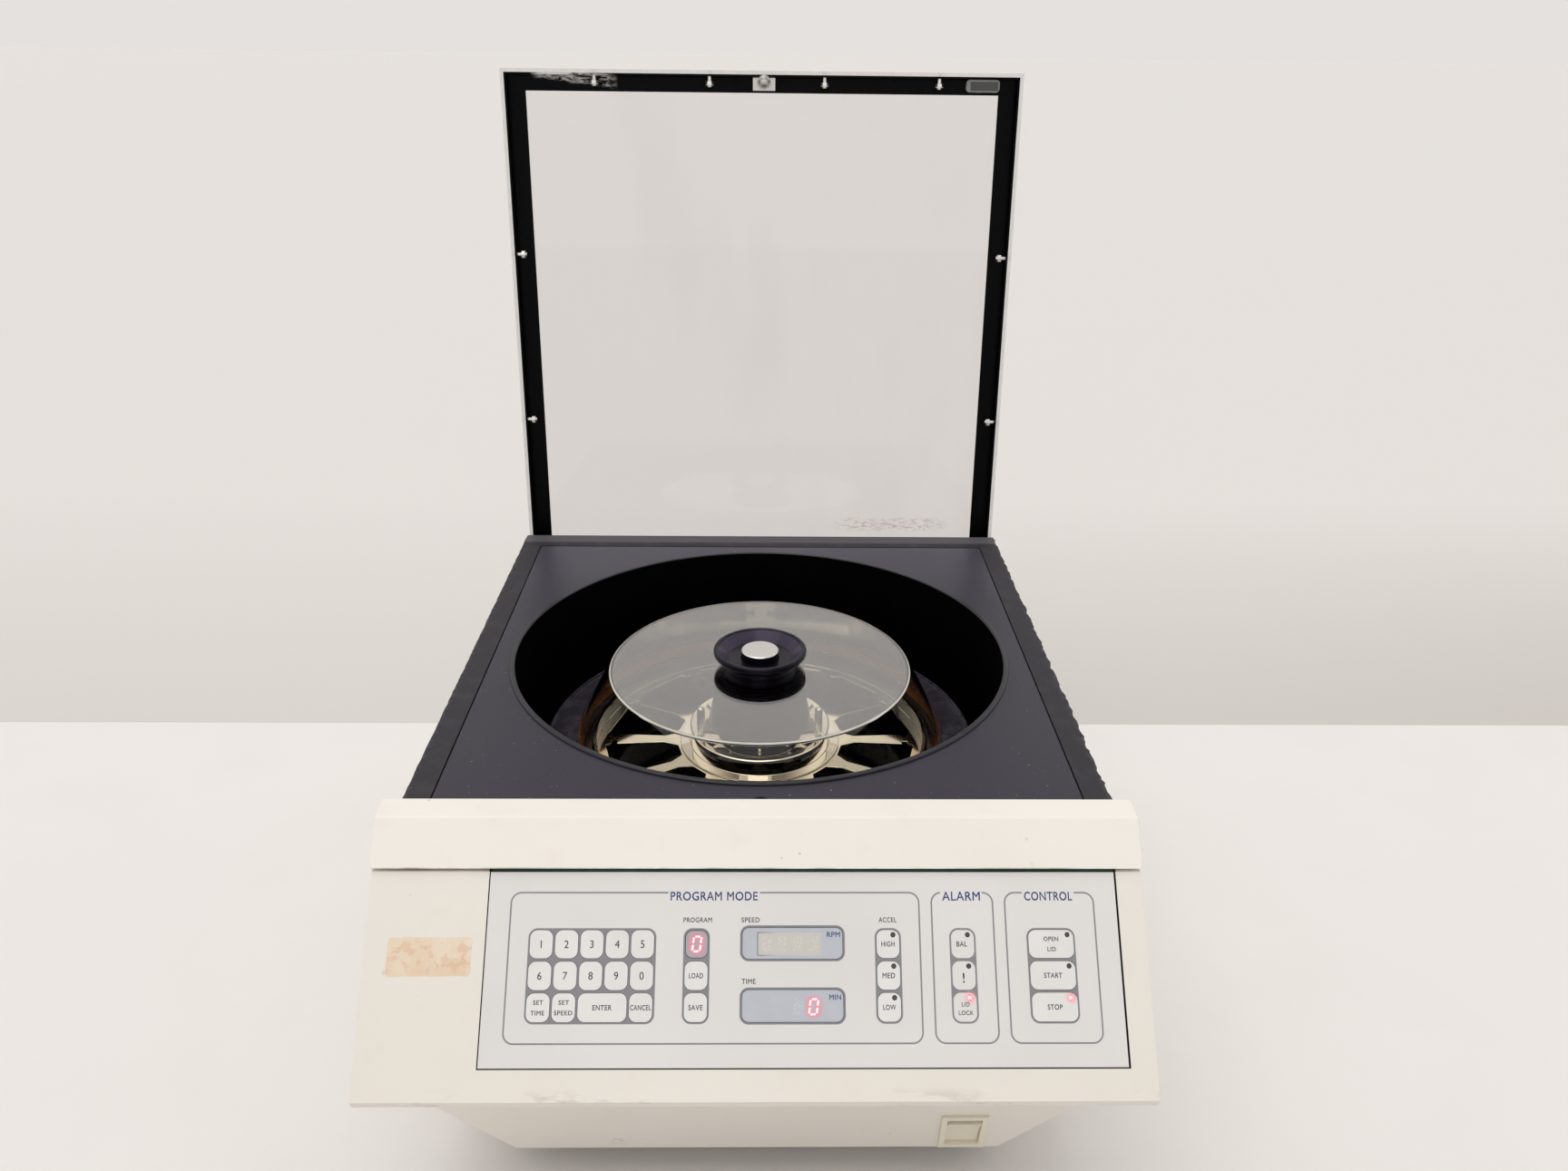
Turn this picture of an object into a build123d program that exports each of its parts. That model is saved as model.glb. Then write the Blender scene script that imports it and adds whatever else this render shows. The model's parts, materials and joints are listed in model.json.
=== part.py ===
from build123d import *
import os
from math import cos, radians, sin, tan

# Cytocentrifuge with a clear hinged lid, a sealed twelve-place head and a sloped membrane panel.
# Millimetres. The model is drawn about the bowl axis (x = 0, y = 0) with z up from the bench,
# X to the right and Y to the rear, and is shifted along Y when it is written.

# ---- overall sizes ----
DECK_Z = 231.5          # top of the black deck above the bench
DECK_HALF = 188.65      # half width of the deck and the casing
DECK_FRONT = -196.0
DECK_BACK = 196.4
DECK_THICK = 3.0
REAR_Y = 234.0          # back of the casing
CASING_FRONT = -205.0
SPLIT_Z = 128.0         # joint between the upper casing and the base tub
WALL = 3.2
GAP = 0.3               # clearance between pieces that move past each other

# ---- front panel: a plane that slopes down to the front ----
SLOPE = 48.0
PANEL_TOP = (-218.9, DECK_Z - 13.7)
PANEL_LEN = 107.7
CONSOLE_HALF = 194.0
CONSOLE_BACK = -190.0
CONSOLE_FLOOR = DECK_Z - 101.5
HOOD_HALF = 195.0

# ---- membrane keypad, along the panel x to the right and s down the slope ----
SHEET_X0, SHEET_X1, SHEET_S1 = -134.2, 180.1, 92.5
SHEET_THICK = 2.2
SHEET_TOP = -0.2        # the sheet sits just below the console's face
KEY_W, KEY_H, KEY_R = 11.3, 13.4, 3.6
KEY_PITCH = 12.5
KEY_ROWS = (35.2, 50.1, 64.9)
KEY_PROUD = 0.15
KEY_TRAVEL = 0.4
BOARD_TOP = -3.2
BOARD_THICK = 1.6

# ---- bowl and head, radii and heights below the deck ----
BOWL_R = 159.3
LIP_R = 162.9
BOWL_DEPTH = 112.5
SPINDLE_R = 10.0
MOTOR_SHAFT_R = 6.0
RUN = 0.05              # radial running clearance of shafts and pins
HEAD_R = 144.0
CARRIER_R = 112.0
CARRIER_Z = -70.0
WINDOWS = 12
COVER_R = 122.0
DISC_R = 100.0
DISC_Z = -12.2
KNOB_R = 30.8
BELL_R = 34.6
BUTTON_R = 12.4

# ---- lid and hinge ----
LID_FRONT = -185.9
LID_BACK = 201.0
LID_LOW = 0.6           # underside of the closed lid's skirt above the deck
LID_HIGH = 11.8
LID_SHEET = 3.0
LID_OPEN = 94.12
HINGE_Y, HINGE_Z = 183.6, -20.0
PIN_R = 3.0
ARM_X0, ARM_X1 = 176.0, 181.0

# ---- base ----
TUB_LOW = 12.0
TUB_HALF = 140.0
CHAMFER_Z = 65.5
TUB_WALL = 3.5
FRONT_TILT = 13.0
TUB_FRONT = -208.0
TUB_BACK = 231.0

Y_SHIFT = 24.6          # puts the middle of the open instrument at y = 0


def box(x0, x1, y0, y1, z0, z1):
    """A block between two corners, with z measured from the deck."""
    middle = Pos((x0 + x1) / 2, (y0 + y1) / 2, (z0 + z1) / 2 + DECK_Z)
    return middle * Box(x1 - x0, y1 - y0, z1 - z0)


def rod(radius, z0, z1, x=0.0, y=0.0):
    return Pos(x, y, (z0 + z1) / 2 + DECK_Z) * Cylinder(radius, z1 - z0)


def rod_x(radius, x0, x1, y, z):
    return Pos((x0 + x1) / 2, y, z + DECK_Z) * Rot(0, 90, 0) * Cylinder(radius, x1 - x0)


def rod_y(radius, y0, y1, x, z):
    return Pos(x, (y0 + y1) / 2, z + DECK_Z) * Rot(90, 0, 0) * Cylinder(radius, y1 - y0)


def prism_x(outline, x0, x1):
    """Outline of (y, z) points, z from the deck, drawn out along X."""
    wire = Polyline(*[(x0, y, z + DECK_Z) for y, z in outline], close=True)
    return extrude(make_face(wire), amount=x1 - x0, dir=(1, 0, 0))


def prism_y(outline, y0, y1):
    wire = Polyline(*[(x, y0, z + DECK_Z) for x, z in outline], close=True)
    return extrude(make_face(wire), amount=y1 - y0, dir=(0, 1, 0))


def turned(outline):
    """Outline of (radius, z) points, z from the deck, turned about the bowl axis."""
    wire = Polyline(*[(r, 0, z + DECK_Z) for r, z in outline], close=True)
    return revolve(make_face(wire), Axis.Z)


def span(side, x0, x1):
    """The stretch x0..x1 on the right (side 1) or mirrored to the left (side -1)."""
    return sorted((side * x0, side * x1))


def as_group(solids):
    return Compound(children=[s for shape in solids for s in shape.solids()])


# ---------------------------------------------------------------- panel plane
panel = Plane(
    origin=(0, PANEL_TOP[0], PANEL_TOP[1]),
    x_dir=(1, 0, 0),
    z_dir=(0, -sin(radians(SLOPE)), cos(radians(SLOPE))),
).location


def on_panel(x, s, n=0.0):
    return panel * Pos(x, -s, n)


def panel_block(x0, x1, s0, s1, n0, n1):
    return on_panel((x0 + x1) / 2, (s0 + s1) / 2, (n0 + n1) / 2) * Box(x1 - x0, s1 - s0, n1 - n0)


def key_prism(width, height, radius, n0, n1):
    return Pos(0, 0, n0) * extrude(RectangleRounded(width, height, radius), n1 - n0)


def panel_point(s, n=0.0):
    """(y, z from the deck) of a point on the panel's centre line."""
    y = PANEL_TOP[0] - s * cos(radians(SLOPE)) - n * sin(radians(SLOPE))
    z = PANEL_TOP[1] - s * sin(radians(SLOPE)) + n * cos(radians(SLOPE)) - DECK_Z
    return (y, z)


# ---------------------------------------------------------------- casing
def tub_outline(inset):
    """Cross-section of the base tub: upright sides with wide bevels along the bottom."""
    half, low = DECK_HALF - inset, TUB_HALF - 0.6 * inset
    bottom, top = TUB_LOW + inset - DECK_Z, SPLIT_Z - DECK_Z
    bevel = CHAMFER_Z - DECK_Z + 0.4 * inset
    return [(-half, top), (-half, bevel), (-low, bottom), (low, bottom), (half, bevel), (half, top)]


def tub_side(inset):
    """Side view of the tub: its front leans out towards the top."""
    lean = tan(radians(FRONT_TILT))
    low, top = TUB_LOW - DECK_Z, SPLIT_Z - DECK_Z
    return [
        (TUB_FRONT + inset, low),
        (TUB_FRONT + inset - (SPLIT_Z - TUB_LOW) * lean, top + inset * 2),
        (TUB_BACK - inset, top + inset * 2),
        (TUB_BACK - inset, low),
    ]


tub_front = Plane(
    origin=(0, TUB_FRONT, TUB_LOW),
    x_dir=(1, 0, 0),
    z_dir=(0, -cos(radians(FRONT_TILT)), -sin(radians(FRONT_TILT))),
).location
SWITCH_X, SWITCH_UP = 118.0, 18.6       # rocker switch centre, from the tub's lower front edge
SWITCH_W, SWITCH_H = 26.6, 32.0
SCREW_X, SCREW_UP = -80.6, 7.3


def base_tub():
    outer = prism_y(tub_outline(0), -300, 300) & prism_x(tub_side(0), -200, 200)
    deep = [(x, z + (TUB_WALL if z > CHAMFER_Z - DECK_Z else 0)) for x, z in tub_outline(TUB_WALL)]
    inner = prism_y(deep, -300, 300) & prism_x(tub_side(TUB_WALL), -200, 200)
    tub = outer - inner
    tub -= tub_front * Pos(SWITCH_X, SWITCH_UP, 0) * Box(22.6, 28.6, 20)
    tub -= tub_front * Pos(SCREW_X, SCREW_UP, 0) * Cylinder(1.6, 20)
    for i in range(9):
        tub -= box(-62 + i * 14, -56 + i * 14, 150, 200, -222, -214)
    return tub


def rubber_feet():
    spots = [(x, y) for x in (-112, 112) for y in (-170, 190)]
    feet = []
    for x, y in spots:
        foot = Pos(x, y, TUB_LOW / 2) * Cone(9.0, 11.5, TUB_LOW)
        feet.append(foot)
    return as_group(feet)


TROUGH_FRONT, TROUGH_BACK, TROUGH_FLOOR = 165.6, 220.8, -44.5   # slot the lid's tail swings in
REAR_TOP, REAR_BREAK = -15.0, 226.0


def upper_casing():
    low = SPLIT_Z - DECK_Z
    side = prism_x([(CASING_FRONT, low), (CASING_FRONT, -DECK_THICK), (DECK_BACK, -DECK_THICK),
                    (DECK_BACK, TROUGH_FLOOR), (TROUGH_BACK, TROUGH_FLOOR), (TROUGH_BACK, REAR_TOP),
                    (REAR_BREAK, REAR_TOP), (REAR_Y, REAR_TOP - 5), (REAR_Y, low)], 0, WALL)
    shell = Pos(-DECK_HALF, 0, 0) * side + Pos(DECK_HALF - WALL, 0, 0) * side
    for x in (-DECK_HALF, DECK_HALF - 12):
        shell += box(x, x + 12, CASING_FRONT, REAR_Y, low, low + WALL)
    half = DECK_HALF - 0.5
    shell += box(-half, half, REAR_Y - WALL, REAR_Y, low, REAR_TOP - 5)
    shell += box(-half, half, REAR_Y - 12, REAR_Y, low, low + WALL)
    shell += prism_x([(TROUGH_BACK, REAR_TOP), (REAR_BREAK, REAR_TOP), (REAR_Y, REAR_TOP - 5),
                      (REAR_Y, REAR_TOP - 8), (REAR_BREAK, REAR_TOP - 3), (TROUGH_BACK, REAR_TOP - 3)],
                     -half, half)
    shell += box(-half, half, TROUGH_BACK, TROUGH_BACK + 2.5, TROUGH_FLOOR - 2.5, REAR_TOP)
    shell += box(-half, half, TROUGH_FRONT, TROUGH_BACK + 2.5, TROUGH_FLOOR - 2.5, TROUGH_FLOOR)
    shell += box(-half, half, TROUGH_FRONT, TROUGH_FRONT + 2.5, TROUGH_FLOOR - 2.5, -DECK_THICK)
    shell -= box(-121, 121, REAR_Y - 5, REAR_Y + 1, -98, -30)
    shell += box(-124, 124, REAR_Y - WALL - 1.6, REAR_Y - WALL, -101, -27)
    shell -= box(-112, 112, REAR_Y - 8, REAR_Y + 1, -92, -34)
    return shell


def rear_panel():
    plate = box(-120.6, 120.6, REAR_Y - WALL, REAR_Y - 1.4, -97.6, -30.4)
    for i in range(14):
        x = -100 + i * 9.5
        plate -= box(x, x + 4, REAR_Y - 10, REAR_Y + 1, -84, -44)
    plate -= box(60.4, 87.6, REAR_Y - 10, REAR_Y + 1, -73.6, -53.4)
    for x in (-116, 116):
        for z in (-92, -36):
            plate -= rod_y(1.7, REAR_Y - 10, REAR_Y + 1, x, z)
    return plate


def mains_inlet():
    """Three-pin appliance inlet."""
    flange = box(57, 91, REAR_Y - 1.4, REAR_Y + 1.0 - 1.4, -76.5, -50.5)
    body = box(60.6, 87.4, REAR_Y - 28, REAR_Y - 1.4, -73.4, -53.6)
    inlet = flange + body - box(63, 85, REAR_Y - 20, REAR_Y + 1, -71, -56)
    for x, z in ((67.0, -65.5), (74.0, -61.5), (81.0, -65.5)):
        inlet += box(x - 1, x + 1, REAR_Y - 20.5, REAR_Y - 5, z - 2, z + 2)
    return inlet


def front_console():
    a, b = panel_point(0), panel_point(PANEL_LEN)
    low = CONSOLE_FLOOR - DECK_Z
    outer = [a, b, (b[0] + 2.6, b[1] - 5.6), (-236, low), (CONSOLE_BACK, low), (CONSOLE_BACK, a[1])]
    skin = panel_point(-6, -WALL)
    foot = panel_point(PANEL_LEN - 4.2, -WALL)
    inner = [skin, foot, (-236, low + 3.5), (CONSOLE_BACK + 10, low + 3.5), (CONSOLE_BACK + 10, skin[1])]
    shell = prism_x(outer, -CONSOLE_HALF, CONSOLE_HALF)
    shell -= prism_x(inner, -CONSOLE_HALF + WALL, CONSOLE_HALF - WALL)
    front = TUB_FRONT - (SPLIT_Z - TUB_LOW) * tan(radians(FRONT_TILT)) - 1.0
    shell -= box(-CONSOLE_HALF + WALL, CONSOLE_HALF - WALL, front, CONSOLE_BACK + 1, low - 1, low + 3.6)
    shell -= panel_block(SHEET_X0 - 0.4, SHEET_X1 + 0.8, -4, SHEET_S1 + 0.5, -8, 5)
    for side in (-1, 1):
        shell += box(*span(side, DECK_HALF, CONSOLE_HALF - WALL), -204, CONSOLE_BACK, -80, -30)
    return shell


def front_hood():
    lid_top, lid_edge, low = (-186.6, 8.3), (-202.7, 7.9), (-220.1, -11.6)
    skin = [(-186.6, 0.0), lid_top, lid_edge, low, (-215.9, -11.6), (-201.2, 4.9), (-189.6, 5.2), (-189.6, 0.0)]
    cheek = [(-186.6, -11.6), lid_top, lid_edge, low]
    hood = prism_x(skin, -HOOD_HALF, HOOD_HALF)
    for side in (-1, 1):
        hood += prism_x(cheek, *span(side, HOOD_HALF - WALL, HOOD_HALF))
    return hood


BORDER_SIDE, BORDER_BACK, BORDER_DEEP = 15.2, 22.6, 1.5
STUD_X, STUD_Y = 1.0, -178.6


def deck_plate():
    deck = box(-DECK_HALF, DECK_HALF, DECK_FRONT, DECK_BACK, -DECK_THICK, 0)
    for side in (-1, 1):
        edge = span(side, DECK_HALF - BORDER_SIDE, DECK_HALF + 1)
        deck -= box(*edge, -190.2, DECK_BACK + 1, -BORDER_DEEP, 1)
    deck -= box(-DECK_HALF, DECK_HALF, DECK_BACK - BORDER_BACK, DECK_BACK + 1, -BORDER_DEEP, 1)
    deck -= rod(161.7, -5, 1)
    deck -= rod(5.4, -5, 1, STUD_X, STUD_Y)
    for side in (-1, 1):
        deck += box(*span(side, 172, 175), HINGE_Y - 7.5, HINGE_Y + 7.5, HINGE_Z - 7, -DECK_THICK)
    return deck - rod_x(PIN_R + RUN, -180, 180, HINGE_Y, HINGE_Z)


def deck_gasket():
    """Foam border that the lid's frame rests on, along both sides and the back."""
    in_side, in_back = DECK_HALF - BORDER_SIDE + 0.8, DECK_BACK - BORDER_BACK + 0.8
    border = box(-DECK_HALF, DECK_HALF, -186.3, DECK_BACK, -BORDER_DEEP, 0.2)
    border -= box(-in_side, in_side, -200, in_back, -3, 1)
    return border


def bowl_liner():
    floor = -BOWL_DEPTH
    return turned([
        (BOWL_R + 0.4, 1.2), (LIP_R - 0.6, 1.2), (LIP_R, 0.7), (LIP_R, 0), (161.3, 0), (161.3, floor + 5),
        (153, floor - 2), (16, floor - 2), (16, floor + 3), (18.5, floor + 3), (18.5, floor),
        (151, floor), (BOWL_R, floor + 8), (BOWL_R, 0.8),
    ])


# ---------------------------------------------------------------- drive
MOUNT_TOP, MOUNT_LOW = -114.5, -118.0


def motor_mount_plate():
    plate = box(-118, 118, -92, 92, MOUNT_LOW, MOUNT_TOP) - rod(14, -130, -100)
    for x in (-104, 104):
        for y in (-78, 78):
            plate += rod(8, TUB_LOW + TUB_WALL - DECK_Z, MOUNT_LOW, x, y)
    return plate


def motor_housing():
    bore = MOTOR_SHAFT_R + RUN
    return turned([
        (bore, MOUNT_LOW), (62, MOUNT_LOW), (62, MOUNT_LOW - 4), (52, MOUNT_LOW - 4), (52, -198),
        (46, -204), (30, -204), (30, -208), (bore, -208),
    ])


def drive_spindle():
    return turned([
        (0, -206), (MOTOR_SHAFT_R, -206), (MOTOR_SHAFT_R, -111.5), (14, -111.5), (14, -106.9),
        (SPINDLE_R, -106.9), (SPINDLE_R, -72), (SPINDLE_R - 1.5, -70.5), (0, -70.5),
    ])


def transformer():
    core = box(-112, -22, 112, 188, -216, -150) - box(-100, -34, 100, 124, -204, -162)
    core -= box(-100, -34, 176, 200, -204, -162)
    return core + box(-98, -36, 114, 186, -202, -164)


# ---------------------------------------------------------------- head
def head_base():
    bore = SPINDLE_R + RUN
    return turned([
        (HEAD_R, -62.6), (HEAD_R, -66.5), (120, -68.5), (116, -74), (110, -103), (106, -106.5),
        (bore, -106.5), (bore, -91), (18, -91), (18, -104), (104, -104), (106.5, -101.5), (109, -72),
        (113, -72), (113, -62), (124, -62), (124, -64), (142, -64), (142, -62.6),
    ])


def window_cutter():
    """One opening of the carrier: narrow at the hub, wide outside, with a notch at each outer corner."""
    wide, narrow = radians(11.4), radians(6.6)

    def at(radius, angle):
        return (radius * cos(angle), radius * sin(angle))

    half = [at(56, narrow), at(65, wide), at(97, wide), at(97, wide + 0.035), at(101, wide + 0.035),
            at(101, wide), at(104.6, wide * 0.92)]
    outline = half + [(x, -y) for x, y in reversed(half)]
    face = make_face(Polyline(*outline, close=True))
    return Pos(0, 0, DECK_Z + CARRIER_Z - 10) * extrude(face, 20)


def carrier_plate():
    plate = turned([
        (30, CARRIER_Z), (30, CARRIER_Z - 2), (CARRIER_R, CARRIER_Z - 2), (CARRIER_R, CARRIER_Z + 10),
        (CARRIER_R - 2, CARRIER_Z + 10), (CARRIER_R - 2, CARRIER_Z),
    ])
    cutter = window_cutter()
    for i in range(WINDOWS):
        plate -= Rot(0, 0, 15 + i * 360 / WINDOWS) * cutter
    return plate


def head_hub():
    """Polished stepped hub with its central lock post and two guide posts for the cover."""
    bore = SPINDLE_R + RUN
    hub = turned([
        (bore, -91), (16, -91), (16, -72), (29.7, -72), (29.7, CARRIER_Z), (54, CARRIER_Z), (54, -68.9),
        (47.4, -68.9), (47.4, -58.8), (46.6, -58), (43, -58), (28, -67), (9, -67), (9, -24.5), (8, -23.5),
        (5.6, -23.5), (5.6, -36), (0, -36), (0, -70), (bore, -70),
    ])
    for side in (-1, 1):
        x, y = side * 42.5, -15.4
        hub += rod(2.1, -58.2, -39, x, y) + Pos(x, y, DECK_Z - 39) * Sphere(2.1)
    for i in range(6):
        angle = radians(30 + 60 * i)
        hub += rod(1.6, -67.2, -63.5, 21 * cos(angle), 21 * sin(angle))
    return hub


def clear_cover():
    t = 3.0
    return turned([
        (16.3, DISC_Z), (DISC_R - 1, DISC_Z), (DISC_R, DISC_Z - 0.8), (COVER_R, -54), (COVER_R, -61.7),
        (COVER_R - t, -61.7), (COVER_R - t, -54.7), (DISC_R - 2.3, DISC_Z - t), (16.3, DISC_Z - t),
    ])


def cover_knob():
    """Spool-shaped knob with a dished top, its stem through the cover."""
    return turned([
        (5.3, -21), (15.9, -21), (15.9, DISC_Z), (23.5, DISC_Z), (23.5, -8.6), (29.6, -4.8), (KNOB_R, -3.2),
        (KNOB_R, -0.8), (KNOB_R - 0.8, 0), (28.2, 0), (27.2, -0.7), (21, -6.5), (BUTTON_R + GAP, -6.5),
        (BUTTON_R + GAP, -19.5), (5.3, -19.5),
    ])


def knob_hub():
    """Black bell under the disc: it carries the knob's clamp and shrouds the lock post."""
    top, low, neck = DISC_Z - 3.0, -56.5, 29.6
    return turned([
        (15.95, top), (neck, top), (neck, -31), (BELL_R, -54), (BELL_R, low), (BELL_R - 2.8, low),
        (neck - 2.8, -32), (neck - 2.8, -29), (9 + GAP, -29), (9 + GAP, -23), (6, -23), (6, -21), (15.95, -21),
    ])


def push_button():
    return turned([
        (0, -23.2), (5, -23.2), (5, -8), (BUTTON_R, -8), (BUTTON_R, -1.5), (BUTTON_R - 0.5, -1), (0, -1),
    ])


def button_spring():
    wire, radius, low, high = 0.7, 9.0, -19.5 + 0.75, -8.0 - 0.75
    path = Pos(0, 0, DECK_Z + low) * Helix(pitch=(high - low) / 4, height=high - low, radius=radius)
    section = Plane(origin=path @ 0, z_dir=path % 0) * Circle(wire)
    return sweep(section, path, is_frenet=True)


# ---------------------------------------------------------------- lid, drawn closed
def opened(shape):
    """Swings a piece of the closed lid back to the open rest position."""
    axis = Axis((0, HINGE_Y, HINGE_Z + DECK_Z), (1, 0, 0))
    return shape.rotate(axis, -LID_OPEN)


SKIRT = 2.6
SKIRT_END = HINGE_Y - 13.2    # the side skirts stop short of the hinge, so that the tail can swing down
FRAME_Z = LID_HIGH - LID_SHEET


def lid_panel():
    panel_top = box(-DECK_HALF, DECK_HALF, LID_FRONT, LID_BACK, FRAME_Z, LID_HIGH)
    top_edges = panel_top.faces().sort_by(Axis.Z)[-1].edges()
    lid = chamfer(top_edges, 1.0)
    lid += box(-DECK_HALF, DECK_HALF, LID_FRONT, LID_FRONT + SKIRT, LID_LOW, FRAME_Z)
    for side in (-1, 1):
        lid += box(*span(side, DECK_HALF - SKIRT, DECK_HALF), LID_FRONT, SKIRT_END, LID_LOW, FRAME_Z)
    for x in FRONT_SCREWS:
        lid -= rod_y(1.5, LID_FRONT - 1, LID_FRONT + 5, x, SCREW_Z)
    for y in SIDE_SCREWS:
        for side in (-1, 1):
            lid -= rod_x(1.5, side * (DECK_HALF - 2.6) - 3, side * (DECK_HALF - 2.6) + 3, y, SCREW_Z)
    return opened(lid)


SCREW_Z = 4.0
FRONT_SCREWS = [3.2 + 83.2 * (i - 1.5) for i in range(4)]
SIDE_SCREWS = (LID_FRONT + 129.6, LID_FRONT + 256.0)
STRIP = 1.4
LEG = 1.4


def lid_frame():
    """Black angle strips inside the lid, along the front and both sides."""
    out_x, out_y = DECK_HALF - SKIRT, LID_FRONT + SKIRT
    in_x, in_y, back = 172.1, LID_FRONT + 14.7, 196.0
    flange = box(-out_x, out_x, out_y, back, FRAME_Z - STRIP, FRAME_Z)
    flange -= box(-in_x, in_x, in_y, back + 1, 0, 20)
    frame = flange + box(-out_x, out_x, out_y, out_y + LEG, 0.9, FRAME_Z)
    for side in (-1, 1):
        frame += box(*span(side, out_x - LEG, out_x), out_y, SKIRT_END, 0.9, FRAME_Z)
    for x in FRONT_SCREWS:
        frame -= rod_y(1.5, LID_FRONT - 1, LID_FRONT + 6, x, SCREW_Z)
    for y in SIDE_SCREWS:
        for side in (-1, 1):
            frame -= rod_x(1.5, side * 185.5 - 3, side * 185.5 + 3, y, SCREW_Z)
    return opened(frame)


def screw_with_nut():
    """Small screw along +Z from its head's outer face, with a flanged nut near its end."""
    shank = Pos(0, 0, 5.6) * Cylinder(1.5, 11.2)
    nut = Pos(0, 0, 7.4) * extrude(RegularPolygon(2.9, 6), 2.0)
    flange = Pos(0, 0, 9.8) * Cylinder(3.1, 0.8)
    return shank + nut + flange


def lid_screws():
    screws = []
    for x in FRONT_SCREWS:
        screws.append(Pos(x, LID_FRONT, SCREW_Z + DECK_Z) * Rot(-90, 0, 0) * screw_with_nut())
    for y in SIDE_SCREWS:
        for side in (-1, 1):
            place = Pos(side * DECK_HALF, y, SCREW_Z + DECK_Z) * Rot(0, -90 * side, 0)
            screws.append(place * screw_with_nut())
    return opened(as_group(screws))


def latch_striker():
    """Plate with a round-headed stud that the latch bolt grips."""
    plate = box(-7.2, 9.2, -181.7, -172.6, FRAME_Z - STRIP - 1.0, FRAME_Z - STRIP)
    top = FRAME_Z - STRIP - 1.0
    outline = [(0, top), (2.2, top), (2.2, -6.2), (4.3, -6.2), (4.3, -7.4), (2.6, -9.6), (0, -10.2)]
    stud = Pos(STUD_X, STUD_Y, 0) * turned(outline)
    return opened(plate + stud)


def lid_magnet():
    block = box(147.5, 171.8, -181.7, -173.0, 2.4, FRAME_Z - STRIP)
    return opened(fillet(block.edges().filter_by(Axis.Z), 2.5))


def hinge_arms():
    reach, low = LID_BACK + 2.0, HINGE_Z - 6.0
    outline = [(186, 4.4), (186, FRAME_Z - STRIP), (196.2, FRAME_Z - STRIP), (196.2, FRAME_Z), (LID_BACK, FRAME_Z),
               (reach, FRAME_Z - 2), (reach, low + 4), (reach - 4, low), (HINGE_Y - 6, low),
               (HINGE_Y - 6, HINGE_Z + 6), (197.4, HINGE_Z + 6), (197.4, 4.4)]
    bore = rod_x(PIN_R, -200, 200, HINGE_Y, HINGE_Z)
    return as_group([opened(prism_x(outline, *span(side, ARM_X0, ARM_X1)) - bore) for side in (-1, 1)])


def hinge_pins():
    pins = []
    for side in (-1, 1):
        pin = rod_x(PIN_R, *span(side, 170.5, 182.0), HINGE_Y, HINGE_Z)
        pins.append(opened(pin + rod_x(4.6, *span(side, 169.0, 170.5), HINGE_Y, HINGE_Z)))
    return as_group(pins)


# ---------------------------------------------------------------- latch under the hood
ROD_Z = -20.0           # the solenoid's plunger; the bolt moves 9 mm to the rear to grip the stud


def latch_bolt():
    """Forked plate, drawn back, with a tail that carries the plunger rod."""
    plate = box(-8, 10, -204, STUD_Y - 4.6, -5.4, -3.6)
    plate -= box(STUD_X - 2.6, STUD_X + 2.6, STUD_Y - 16, STUD_Y, -6, -3)
    tail = box(-5, 7, -204, -201, -25, -3.6)
    rod_in = rod_y(PIN_R, -202, -181.5, STUD_X, ROD_Z)
    return plate + tail + rod_in


def latch_solenoid():
    body = box(-13, 15, -190, -166, ROD_Z - 8, ROD_Z + 8)
    for x in (-16, 15):
        body += box(x, x + 3, -186, -170, ROD_Z - 8, -DECK_THICK)
    return body - rod_y(PIN_R + RUN, -191, -170, STUD_X, ROD_Z)


# ---------------------------------------------------------------- keypad and displays
KEY_COLUMNS = [-106.9 + KEY_PITCH * i for i in range(5)]
WIDE_KEY = 22.4
keys = {}
for i, name in enumerate(("1", "2", "3", "4", "5")):
    keys["key_" + name] = (KEY_COLUMNS[i], KEY_ROWS[0], KEY_W)
for i, name in enumerate(("6", "7", "8", "9", "0")):
    keys["key_" + name] = (KEY_COLUMNS[i], KEY_ROWS[1], KEY_W)
keys["key_set_time"] = (KEY_COLUMNS[0], KEY_ROWS[2], KEY_W)
keys["key_set_speed"] = (KEY_COLUMNS[1], KEY_ROWS[2], KEY_W)
keys["key_enter"] = ((KEY_COLUMNS[2] + KEY_COLUMNS[3]) / 2, KEY_ROWS[2], KEY_W + KEY_PITCH)
keys["key_cancel"] = (KEY_COLUMNS[4], KEY_ROWS[2], KEY_W)
keys["key_load"] = (-30.2, KEY_ROWS[1], KEY_W)
keys["key_save"] = (-30.2, KEY_ROWS[2], KEY_W)
for name, s in zip(("high", "medium", "low"), KEY_ROWS):
    keys["key_accel_" + name] = (64.7, s, KEY_W)
for name, s in zip(("open_lid", "start", "stop"), KEY_ROWS):
    keys["key_" + name] = (146.0, s, WIDE_KEY)

PROGRAM_WINDOW = (-30.2, KEY_ROWS[0], KEY_W, KEY_H)
SPEED_WINDOW = (17.3, 34.8, 50.2, 15.4)
TIME_WINDOW = (17.3, 64.2, 50.2, 15.4)
ALARM_X = 101.9
led_spots = [(64.7 + 2.6, s - 4.4) for s in KEY_ROWS]
led_spots += [(ALARM_X + 2.6, s - 4.4) for s in KEY_ROWS]
led_spots += [(146.0 + 8.3, s - 4.4) for s in KEY_ROWS]


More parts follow.
